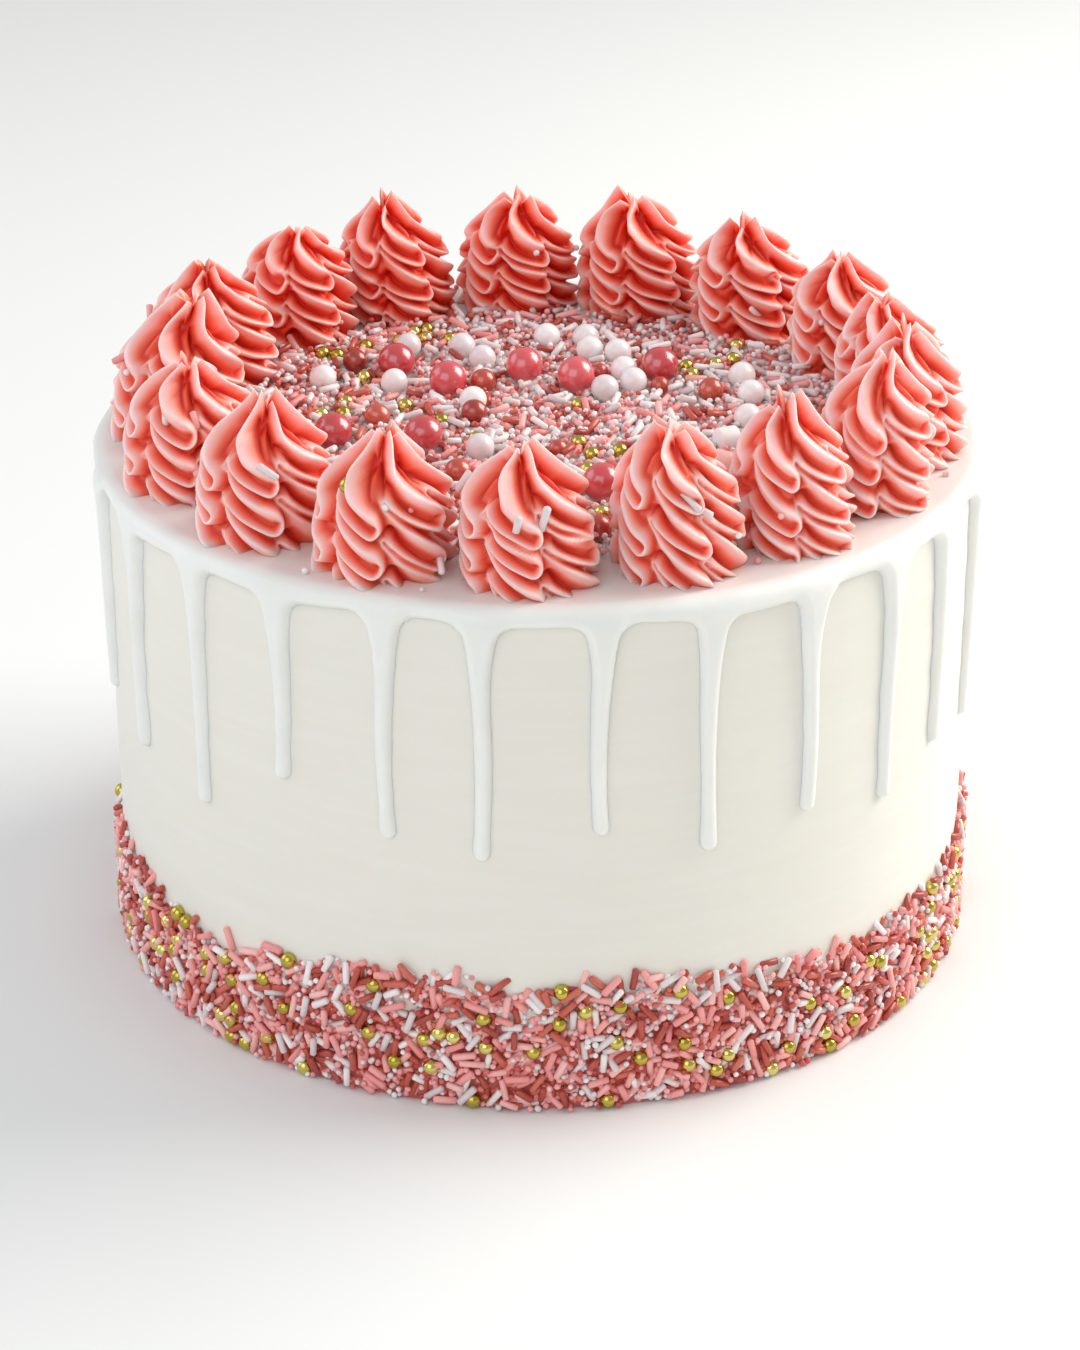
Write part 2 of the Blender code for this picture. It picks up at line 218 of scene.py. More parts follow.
def add_node(tree, kind, inputs=None, stops=(), **settings):
    """One node with its settings and inputs, and a ramp's hex colours at their places."""
    made = tree.nodes.new(kind)
    for name, value in settings.items():
        setattr(made, name, value)
    set_inputs(tree, made, inputs or {})
    if stops:
        elements = made.color_ramp.elements
        while len(elements) > 1:
            elements.remove(elements[-1])
        elements[0].position = stops[0][0]
        elements[0].color = srgb(stops[0][1])
        for position, code in stops[1:]:
            elements.new(position).color = srgb(code)
    return made


def add_sums(tree, terms, rows, held=()):
    """Adds one sum after another to a tree, and each to the terms under its own name.

    A row is the name, the operation and what it works on: numbers, or names of terms so far.
    Those that are held stay between 0 and 1.
    """
    for name, operation, *parts in rows:
        inputs = {i: terms.get(part, part) for i, part in enumerate(parts)}
        terms[name] = add_node(tree, "ShaderNodeMath", inputs, operation=operation,
                               use_clamp=name in held).outputs[0]


def polar(angle, radius):
    """The place at an angle and a distance from an axis."""
    turn = math.radians(angle)
    return radius * math.cos(turn), radius * math.sin(turn)


def finish_piece(name, mesh, material, replaces=()):
    """Makes an object of a mesh in place, and ties it to the frame."""
    if material is not None:
        mesh.materials.clear()
        mesh.materials.append(material)
    piece = bpy.data.objects.new(name, mesh)
    bpy.context.scene.collection.objects.link(piece)
    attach(piece, "root")
    if replaces:
        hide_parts(*replaces)
    return piece


def grow(name, source, tree, inputs):
    """Runs a Geometry Nodes tree on a mesh and gives the result as a plain mesh."""
    holder = bpy.data.objects.new(name, source)
    bpy.context.scene.collection.objects.link(holder)
    modifier = holder.modifiers.new(name, "NODES")
    modifier.node_group = tree
    for item in tree.interface.items_tree:
        if item.item_type == "SOCKET" and item.in_out == "INPUT" and item.name in inputs:
            modifier[item.identifier] = inputs[item.name]
    evaluated = holder.evaluated_get(bpy.context.evaluated_depsgraph_get())
    mesh = bpy.data.meshes.new_from_object(evaluated)
    mesh.name = name
    bpy.data.objects.remove(holder, do_unlink=True)
    return mesh


# Finishes

def new_finish(name):
    """A new material, its tree and its shader."""
    material = bpy.data.materials.new(name)
    material.use_nodes = True
    shader = material.node_tree.nodes["Principled BSDF"]
    return material, material.node_tree, shader


def ivory_buttercream():
    """Ivory buttercream, scraped smooth: satin, slightly waxy, with faint level scraper marks."""
    material, tree, shader = new_finish("ivory_buttercream")
    place = add_node(tree, "ShaderNodeTexCoord").outputs["Object"]
    # marks run level: about 3 mm apart in height and many times longer than that
    level = add_node(tree, "ShaderNodeMapping", {"Vector": place, "Scale": (30.0, 30.0, 340.0)})
    marks = add_node(tree, "ShaderNodeTexNoise", {
        "Vector": level.outputs[0], "Scale": 1.0, "Detail": 3.0, "Roughness": 0.55})
    # pores of about 0.8 mm
    pores = add_node(tree, "ShaderNodeTexNoise", {
        "Vector": place, "Scale": 1250.0, "Detail": 2.0, "Roughness": 0.5})
    colour = add_node(tree, "ShaderNodeValToRGB", {"Fac": marks.outputs[0]}, stops=(
        (0.30, "#E9E6DC"), (0.50, "#EAE7DD"), (0.72, "#EBE9E0"))).outputs[0]
    # painted shade and painted red bounce light between the sugar of the band, over the lowest 22
    # mm, with an uneven edge
    height = add_node(tree, "ShaderNodeSeparateXYZ", {0: place}).outputs["Z"]
    patches = add_node(tree, "ShaderNodeTexNoise", {
        "Vector": place, "Scale": 260.0, "Detail": 2.0, "Roughness": 0.5})
    uneven = add_node(tree, "ShaderNodeMath", {
        0: patches.outputs[0], 1: 0.006, 2: height}, operation="MULTIPLY_ADD")
    painted_band_shade = add_node(tree, "ShaderNodeMapRange", {
        "Value": uneven.outputs[0], "From Min": 0.0235, "From Max": 0.0265,
        "To Min": 1.0, "To Max": 0.0})
    colour = add_node(tree, "ShaderNodeMix", {
        "Factor": painted_band_shade.outputs[0], 6: colour, 7: srgb("#C9645C")}, data_type="RGBA").outputs[2]
    relief = add_node(tree, "ShaderNodeMath", {
        0: pores.outputs[0], 1: 0.25, 2: marks.outputs[0]}, operation="MULTIPLY_ADD")
    bump = add_node(tree, "ShaderNodeBump", {
        "Strength": 0.08, "Distance": 0.0003, "Height": relief.outputs[0]})
    rough = add_node(tree, "ShaderNodeMapRange", {
        "Value": marks.outputs[0], "From Min": 0.3, "From Max": 0.7, "To Min": 0.42,
        "To Max": 0.54})
    set_inputs(tree, shader, {
        "Base Color": colour, "Normal": bump.outputs[0], "Roughness": rough.outputs[0],
        "IOR": 1.46, "Subsurface Weight": 0.6, "Subsurface Radius": (1.0, 0.78, 0.55),
        "Subsurface Scale": 0.0016})
    return material


def white_glaze():
    """Set white chocolate glaze: poured, so level and softly glossy, and cooler than the cream."""
    material, tree, shader = new_finish("white_poured_glaze")
    place = add_node(tree, "ShaderNodeTexCoord").outputs["Object"]
    # slow flow marks, about 9 mm apart
    flow = add_node(tree, "ShaderNodeTexNoise", {
        "Vector": place, "Scale": 110.0, "Detail": 2.0, "Roughness": 0.5})
    colour = add_node(tree, "ShaderNodeValToRGB", {"Fac": flow.outputs[0]}, stops=(
        (0.30, "#EBECE7"), (0.70, "#EFEFEB")))
    bump = add_node(tree, "ShaderNodeBump", {
        "Strength": 0.08, "Distance": 0.0004, "Height": flow.outputs[0]})
    rough = add_node(tree, "ShaderNodeMapRange", {
        "Value": flow.outputs[0], "From Min": 0.3, "From Max": 0.7, "To Min": 0.30,
        "To Max": 0.38})
    set_inputs(tree, shader, {
        "Base Color": colour.outputs[0], "Normal": bump.outputs[0],
        "Roughness": rough.outputs[0], "IOR": 1.48, "Subsurface Weight": 0.7,
        "Subsurface Radius": (1.0, 0.85, 0.68), "Subsurface Scale": 0.0014})
    return material


def coral_buttercream():
    """Piped coral buttercream that light passes into; its colour is painted pale on the edges as a
    painted highlight and deep red in the creases as painted shade.
    """
    material, tree, shader = new_finish("coral_piped_buttercream")
    place = add_node(tree, "ShaderNodeTexCoord").outputs["Object"]
    depth = add_node(tree, "ShaderNodeAttribute", attribute_name="groove").outputs["Fac"]
    # colour left unevenly stirred, in clouds of about 7 mm
    clouds = add_node(tree, "ShaderNodeTexNoise", {
        "Vector": place, "Scale": 140.0, "Detail": 2.0, "Roughness": 0.5})
    terms = {"clouds": clouds.outputs[0], "depth": depth}
    add_sums(tree, terms, (
        ("shift", "MULTIPLY_ADD", "clouds", 0.16, -0.08), ("level", "ADD", "depth", "shift")))
    # painted light and shade: the groove depth sets a pale painted highlight on the rib edges and a
    # deep red painted shade in the creases
    colour = add_node(tree, "ShaderNodeValToRGB", {"Fac": terms["level"]}, stops=(
        (0.00, "#FFE2E1"), (0.18, "#FFCECA"), (0.42, "#FDB2A6"), (0.70, "#F27357"),
        (1.00, "#DA2208")))
    # fine drag marks of the nozzle, about 0.6 mm
    drag = add_node(tree, "ShaderNodeTexNoise", {
        "Vector": place, "Scale": 1600.0, "Detail": 2.0, "Roughness": 0.6})
    bump = add_node(tree, "ShaderNodeBump", {
        "Strength": 0.18, "Distance": 0.0002, "Height": drag.outputs[0]})
    rough = add_node(tree, "ShaderNodeMapRange", {
        "Value": clouds.outputs[0], "From Min": 0.3, "From Max": 0.7, "To Min": 0.36,
        "To Max": 0.46})
    set_inputs(tree, shader, {
        "Base Color": colour.outputs[0], "Normal": bump.outputs[0],
        "Roughness": rough.outputs[0], "IOR": 1.46, "Subsurface Weight": 0.9,
        "Subsurface Radius": (1.0, 0.22, 0.11), "Subsurface Scale": 0.0025})
    return material


def sugar_finish(name, codes, roughness, metallic=0.0, coat=0.0, glow=0.0, speck=900.0):
    """Sugar pieces of one colour, each a little lighter or darker than the next.

    The tone of each piece is its own attribute; specks of about a millimetre lie over it.
    """
    material, tree, shader = new_finish(name)
    place = add_node(tree, "ShaderNodeTexCoord").outputs["Object"]
    tone = add_node(tree, "ShaderNodeAttribute", attribute_name="tone").outputs["Fac"]
    specks = add_node(tree, "ShaderNodeTexNoise", {
        "Vector": place, "Scale": speck, "Detail": 2.0, "Roughness": 0.5})
    terms = {"specks": specks.outputs[0], "tone": tone}
    add_sums(tree, terms, (
        ("mixed", "MULTIPLY_ADD", "specks", 0.30, -0.15), ("level", "ADD", "tone", "mixed")),
        held=("level",))
    stops = [(i / (len(codes) - 1), code) for i, code in enumerate(codes)]
    colour = add_node(tree, "ShaderNodeValToRGB", {"Fac": terms["level"]}, stops=stops)
    rough = add_node(tree, "ShaderNodeMapRange", {
        "Value": specks.outputs[0], "From Min": 0.3, "From Max": 0.7,
        "To Min": roughness - 0.05, "To Max": roughness + 0.05})
    bump = add_node(tree, "ShaderNodeBump", {
        "Strength": 0.15, "Distance": 0.0001, "Height": specks.outputs[0]})
    set_inputs(tree, shader, {
        "Base Color": colour.outputs[0], "Normal": bump.outputs[0],
        "Roughness": rough.outputs[0], "Metallic": metallic})
    if coat:
        # a shellac glaze, with the sheen of mica
        set_inputs(tree, shader, {
            "Coat Weight": coat, "Coat Roughness": 0.18, "Coat IOR": 1.85})
    if glow:
        set_inputs(tree, shader, {
            "Subsurface Weight": glow, "Subsurface Radius": (1.0, 0.6, 0.5),
            "Subsurface Scale": 0.0008})
    return material


# The frosted cake

def frosted_cake(material):
    """The cake under its buttercream: a turned form with faint waves from the scraper."""
    rng = random.Random(3)
    waves = [(rng.randint(2, 9), rng.uniform(20.0, 120.0), rng.uniform(0.0, 6.28),
              rng.uniform(0.3, 1.0)) for _ in range(12)]
    rim = [(CAKE_RADIUS - RIM_ROUND + RIM_ROUND * math.sin(t), CAKE_HEIGHT - RIM_ROUND
            + RIM_ROUND * math.cos(t)) for t in np.linspace(0.0, math.pi / 2, 9)]
    side = [(CAKE_RADIUS, z) for z in np.linspace(CAKE_HEIGHT - RIM_ROUND, 0.0, 60)[1:]]
    top = [(r, CAKE_HEIGHT) for r in (0.033, 0.066)]
    profile = top + rim + side
    bm = bmesh.new()
    rings = []
    for radius, z in profile:
        ring = []
        for column in range(CAKE_COLUMNS):
            turn = 2 * math.pi * column / CAKE_COLUMNS
            wave = sum(a * math.sin(n * turn + k * z * 10 + p) for n, k, p, a in waves)
            shaped = radius + SCRAPER_WAVE * wave if 0.0 < z < CAKE_HEIGHT - RIM_ROUND else radius
            ring.append(bm.verts.new((shaped * math.cos(turn), shaped * math.sin(turn), z)))
        rings.append(ring)
    for upper, lower in zip(rings, rings[1:]):
        for i in range(CAKE_COLUMNS):
            j = (i + 1) % CAKE_COLUMNS
            bm.faces.new((upper[i], lower[i], lower[j], upper[j]))
    bm.faces.new(rings[0])
    bm.faces.new(rings[-1][::-1])
    mesh = bpy.data.meshes.new("frosted_cake")
    bm.to_mesh(mesh)
    bm.free()
    mesh.shade_smooth()
    mesh.set_sharp_from_angle(angle=math.radians(50.0))
    return finish_piece("frosted_cake", mesh, material, ("cake_body",))


# The glaze and its drips

def drip_list(rng):
    """Angle, end height, half width, sway, phase and raggedness of every drip, in order."""
    first = FRONT_DRIPS[-1][0] - 360.0
    pitch = (FRONT_DRIPS[0][0] - first) / (BACK_DRIPS + 1)
    drips = []
    for i in range(BACK_DRIPS):
        angle = first + pitch * (i + 1 + rng.uniform(-0.12, 0.12))
        drips.append((angle, rng.uniform(*BACK_DRIP_ENDS)))
    drips += list(FRONT_DRIPS)
    return [(angle, end, DRIP_HALF * rng.uniform(0.93, 1.08), rng.uniform(-0.0006, 0.0006),
             rng.uniform(0.0, 6.28), RAGGED_DRIPS.get(angle, 0.0)) for angle, end in drips]


def smooth_union(a, b, blend):
    """The larger of two depths, with a rounded corner where they meet."""
    share = np.clip(0.5 + 0.5 * (a - b) / blend, 0.0, 1.0)
    return b + (a - b) * share + blend * share * (1.0 - share)


def drip_columns(drips):
    """Columns of the glaze: angle, the drip's own column, and the run to the nearest drip end."""
    per_metre = math.degrees(1.0 / CAKE_RADIUS)
    offsets = np.linspace(-DRIP_REACH, DRIP_REACH, DRIP_STEPS + 1)
    columns = []
    for index, (angle, end, *_) in enumerate(drips):
        run = RIM_ARC + CAKE_HEIGHT - RIM_ROUND - end
        for offset in offsets:
            columns.append((angle + offset * per_metre, run))
        next_angle, next_end = drips[(index + 1) % len(drips)][:2]
        next_run = RIM_ARC + CAKE_HEIGHT - RIM_ROUND - next_end
        start = angle + DRIP_REACH * per_metre
        gap = (next_angle - DRIP_REACH * per_metre - start) % 360.0
        for step in range(1, 8):
            columns.append((start + gap * step / 8, run + (next_run - run) * step / 8))
    return columns


def glaze_skin(material):
    """The poured glaze: one shell over the top and the rim, with a rounded edge and its drips."""
    rng = random.Random(11)
    drips = drip_list(rng)
    columns = drip_columns(drips)
    angles = np.array([c[0] for c in columns])
    ends = np.array([c[1] for c in columns])
    upper = np.linspace(0.0, RIM_RUN, 44)
    middle = np.linspace(0.0, 1.0, 18)[1:-1]
    lower = np.linspace(-END_RUN, 0.0008, 24)
    rows = [np.full_like(ends, run) for run in upper]
    rows += [RIM_RUN + (ends - END_RUN - RIM_RUN) * share for share in middle]
    rows += [ends + run for run in lower]
    run = np.array(rows)
    turn = np.broadcast_to(np.radians(angles), run.shape)

    # how far each point lies inside the glaze: the level part, then each drip joined to it
    arch = ARCH_RUN + 0.0004 * np.sin(5 * turn + 1.0) + 0.0004 * np.sin(13 * turn + 4.0)
    inside = arch - run
    for angle, end, half, sway, phase, ragged in drips:
        away = (np.degrees(turn) - angle + 180.0) % 360.0 - 180.0
        side = np.radians(away) * CAKE_RADIUS
        centre = sway * np.sin(run * 95.0 + phase) * np.clip(run / 0.02, 0.0, 1.0)
        tip_run = RIM_ARC + CAKE_HEIGHT - RIM_ROUND - end
        width = half * (1.0 + 0.05 * np.sin(run * 160.0 + 2 * phase)
                        + ragged * np.sin(run * 310.0 + phase) * np.sin(run * 130.0 + 1.0)
                        + 0.12 * np.exp(-((run - tip_run + 0.003) / 0.003) ** 2))
        width = width + DRIP_FLARE * np.exp(-np.maximum(run - ARCH_RUN, 0.0) / FLARE_RUN)
        straight = width - np.abs(side - centre)
        bulb = width - np.hypot(side - centre, run - (tip_run - width))
        drip = np.where(run < tip_run - width, straight, bulb)
        near = np.abs(side) < DRIP_NEAR
        inside = np.where(near, smooth_union(inside, drip, ARCH_BLEND), inside)

    full = np.interp(run, (0.0, 0.5 * RIM_ARC, 1.2 * RIM_ARC, 0.012, 0.030, 0.060),
                     (GLAZE_LIFT, RIM_LIFT, RIM_LIFT, DRIP_LIFT + 0.0002, DRIP_LIFT, 0.0019))
    reach = np.clip(inside / GLAZE_EDGE, 0.0, 1.0)
    lift = full * np.sqrt(1.0 - (1.0 - reach) ** 2)
    lift = np.where(inside < 0.0, np.maximum(1.2 * inside, -0.0005), lift)

    def skin(run, lift):
        over = np.clip(run / RIM_ROUND, 0.0, math.pi / 2)
        radius = CAKE_RADIUS - RIM_ROUND + (RIM_ROUND + lift) * np.sin(over)
        z = CAKE_HEIGHT - RIM_ROUND + (RIM_ROUND + lift) * np.cos(over)
        z = z - np.maximum(run - RIM_ARC, 0.0)
        return np.stack((radius * np.cos(turn), radius * np.sin(turn), z), axis=-1)

    outer = skin(run, lift)
    inner = skin(run, np.full_like(run, GLAZE_UNDER))
    count_rows, count_columns = run.shape
    size = count_rows * count_columns
    verts = np.concatenate((outer.reshape(-1, 3), inner.reshape(-1, 3)))

    def at(row, column, layer):
        return layer * size + row * count_columns + column % count_columns

    kept = set()
    for row in range(count_rows - 1):
        for column in range(count_columns):
            beside = (column + 1) % count_columns
            corners = (inside[row, column], inside[row + 1, column],
                       inside[row, beside], inside[row + 1, beside])
            if max(corners) > -0.0002:
                kept.add((row, column))
    faces = []
    for row, column in sorted(kept):
        a, b = (row, column), (row + 1, column)
        c, d = (row + 1, column + 1), (row, column + 1)
        faces.append(tuple(at(*p, 0) for p in (a, b, c, d)))
        faces.append(tuple(at(*p, 1) for p in (d, c, b, a)))
        around = (((row, column - 1), a, b), ((row + 1, column), b, c),
                  ((row, column + 1), c, d), ((row - 1, column), d, a))
        for (other_row, other_column), start, stop in around:
            if other_row < 0:
                continue
            if (other_row, other_column % count_columns) not in kept:
                faces.append((at(*start, 0), at(*start, 1), at(*stop, 1), at(*stop, 0)))
    # the level top closes the shell above and below
    faces.append(tuple(at(0, column, 0) for column in range(count_columns)))
    faces.append(tuple(at(0, column, 1) for column in range(count_columns))[::-1])
    mesh = bpy.data.meshes.new("drip_glaze")
    mesh.from_pydata(verts.tolist(), [], faces)
    bm = bmesh.new()
    bm.from_mesh(mesh)
    loose = [v for v in bm.verts if not v.link_faces]
    bmesh.ops.delete(bm, geom=loose, context="VERTS")
    bm.to_mesh(mesh)
    bm.free()
    mesh.shade_smooth()
    mesh.set_sharp_from_angle(angle=math.radians(70.0))
    return finish_piece("white_glaze", mesh, material, ("drip_glaze",))


# The piped swirls

def round_corners(points, passes):
    """Cuts off each corner of a path, as often as asked, so that it becomes round."""
    for _ in range(passes):
        cut = [points[0]]
        for a, b in zip(points, points[1:]):
            cut.append(tuple(0.75 * p + 0.25 * q for p, q in zip(a, b)))
            cut.append(tuple(0.25 * p + 0.75 * q for p, q in zip(a, b)))
        cut.append(points[-1])
        points = cut
    return points


def evenly(points, step):
    """The same path with points no further apart than a step."""
    line = [points[0]]
    for a, b in zip(points, points[1:]):
        count = max(1, math.ceil(math.hypot(b[0] - a[0], b[1] - a[1]) / step))
        for i in range(1, count + 1):
            line.append(tuple(p + (q - p) * i / count for p, q in zip(a, b)))
    return line


def rib_path(height, levels, slant, rng):
    """The edge of one rib, laid flat, from the torn tip down.

    Each corner is: sideways, height, how far it is tucked in, and the distance to the crease
    on its outer and on its inner side, with 0 for none. The rib runs down the cap, then out
    sideways into a round finger, back under it, and so on for each shake of the nozzle.
    """
    def vary(amount):
        return 1.0 + amount * rng.uniform(-1.0, 1.0)

    half = 0.5 * RIB_SPACING
    start = levels[0] + FINGER_ROUND + 0.0040
    rest = 1.10 * height - start
    path = [(0.0, 1.10 * height, 0.0, half, 0.0),
            (0.0007 * vary(0.8), start + 0.78 * rest, 0.0, half, 0.0),
            (-0.0036 * vary(0.4), start + 0.36 * rest, 0.0, 0.90 * half, 0.0),
            (-0.0034 * vary(0.4), start + 0.0004, 0.0, 0.60 * half, 0.0)]
    for planned in levels:
        level = planned + 0.0008 * rng.uniform(-1.0, 1.0)
        blunt = FINGER_ROUND * vary(0.12)
        end = FINGER_END + 0.0008 * rng.uniform(-1.0, 1.0)
        fold = [(end - 0.0010, level + blunt + 0.0003, 0.0, OUTER_CREASE, 0.0)]
        for angle in range(80, -91, -20):
            turn = math.radians(angle)
            inner = INNER_CREASE if angle < 10 else 0.0
            fold.append((end + blunt * math.cos(turn), level + blunt * math.sin(turn),
                         0.0, OUTER_CREASE, inner))
        back = TURN_CENTRE + 0.0005 * rng.uniform(-1.0, 1.0)
        fold.append((end - 0.0030, level - blunt + 0.0009, 0.15, OUTER_CREASE, INNER_CREASE))
        fold.append((0.5 * back, level - 0.0002, 0.35, OUTER_CREASE, 0.0019))
        fold.append((back, level + 0.0017, 0.80, OUTER_CREASE, 0.0033))
        for angle in range(110, 251, 35):
            turn = math.radians(angle)
            fold.append((back + TURN_ROUND * math.cos(turn),
                         level + 0.0006 + TURN_ROUND * math.sin(turn), 1.0, 0.0, 0.0))
        fold.append((back + 0.0020, level - 0.0014, 0.75, OUTER_CREASE, 0.0))
        fold.append((back + 0.0045, level - 0.0028, 0.35, OUTER_CREASE, 0.0))
        fall = slant + 0.07 * rng.uniform(-1.0, 1.0)
        path += [(point[0], point[1] - fall * point[0], *point[2:]) for point in fold]
    return evenly(round_corners(path, 2), 0.0003)


def beside_path(path, side, column, join):
    """The crease that runs beside a rib: broken where the rib has none."""
    runs, run = [], []
    for before, here, after in zip(path, path[1:], path[2:]):
        along = (after[0] - before[0], after[1] - before[1])
        span = max(math.hypot(*along), 1e-9)
        reach = here[column]
        if reach < 0.6 * INNER_CREASE:
            if len(run) > 1:
                runs.append(run)
            run = []
            continue
        run.append((here[0] - side * along[1] / span * reach,
                    here[1] + side * along[0] / span * reach))
    if len(run) > 1:
        runs.append(run)
    if runs and join:
        # the first inner crease runs on up into the groove between two ribs of the cap
        last = runs[0][-1]
        half = 0.5 * RIB_SPACING
        runs[0] = evenly(runs[0] + [(-0.90 * half, last[1] + 0.0024), (-half, last[1] + 0.0055)],
                         0.0003)
    return runs


def rib_lines(height, levels, slant, seed):
    """The flat lines of all ribs and creases, some repeated past each side so that they join up."""
    rng = random.Random(seed)
    paths = [rib_path(height, levels, slant, rng) for _ in range(RIBS)]
    verts, edges, tuck, crease = [], [], [], []

    def lay(line, shift, folded):
        start = len(verts)
        verts.extend((point[0] + shift, point[1], 0.0) for point in line)
        edges.extend((i, i + 1) for i in range(start, len(verts) - 1))
        tuck.extend(0.0 if folded else point[2] for point in line)
        crease.extend([1.0 if folded else 0.0] * len(line))

    for rib in range(-2, RIBS + 3):
        path = paths[rib % RIBS]
        shift = (rib - RIBS / 2 + 0.5) * RIB_SPACING
        lay(path, shift, False)
        for line in beside_path(path, 1.0, 3, False) + beside_path(path, -1.0, 4, True):
            lay(line, shift, True)
    mesh = bpy.data.meshes.new("rib lines")
    mesh.from_pydata(verts, edges, [])
    mesh.attributes.new("tuck", "FLOAT", "POINT").data.foreach_set("value", tuck)
    mesh.attributes.new("crease", "FLOAT", "POINT").data.foreach_set("value", crease)
    return mesh


def new_tree(name, inputs):
    """An empty Geometry Nodes tree with named inputs; gives the tree and its input sockets."""
    tree = bpy.data.node_groups.new(name, "GeometryNodeTree")
    tree.interface.new_socket("Geometry", in_out="INPUT", socket_type="NodeSocketGeometry")
    for label, kind, default in inputs:
        socket = tree.interface.new_socket(label, in_out="INPUT", socket_type=kind)
        if default is not None:
            socket.default_value = default
    tree.interface.new_socket("Geometry", in_out="OUTPUT", socket_type="NodeSocketGeometry")
    return tree, add_node(tree, "NodeGroupInput").outputs


def end_tree(tree, geometry, material):
    """Every tree ends in smooth faces, real instances and one material."""
    smooth = add_node(tree, "GeometryNodeSetShadeSmooth", {"Geometry": geometry}).outputs[0]
    real = add_node(tree, "GeometryNodeRealizeInstances", {"Geometry": smooth}).outputs[0]
    painted = add_node(tree, "GeometryNodeSetMaterial", {"Geometry": real, "Material": material})
    add_node(tree, "NodeGroupOutput", {0: painted.outputs[0]})


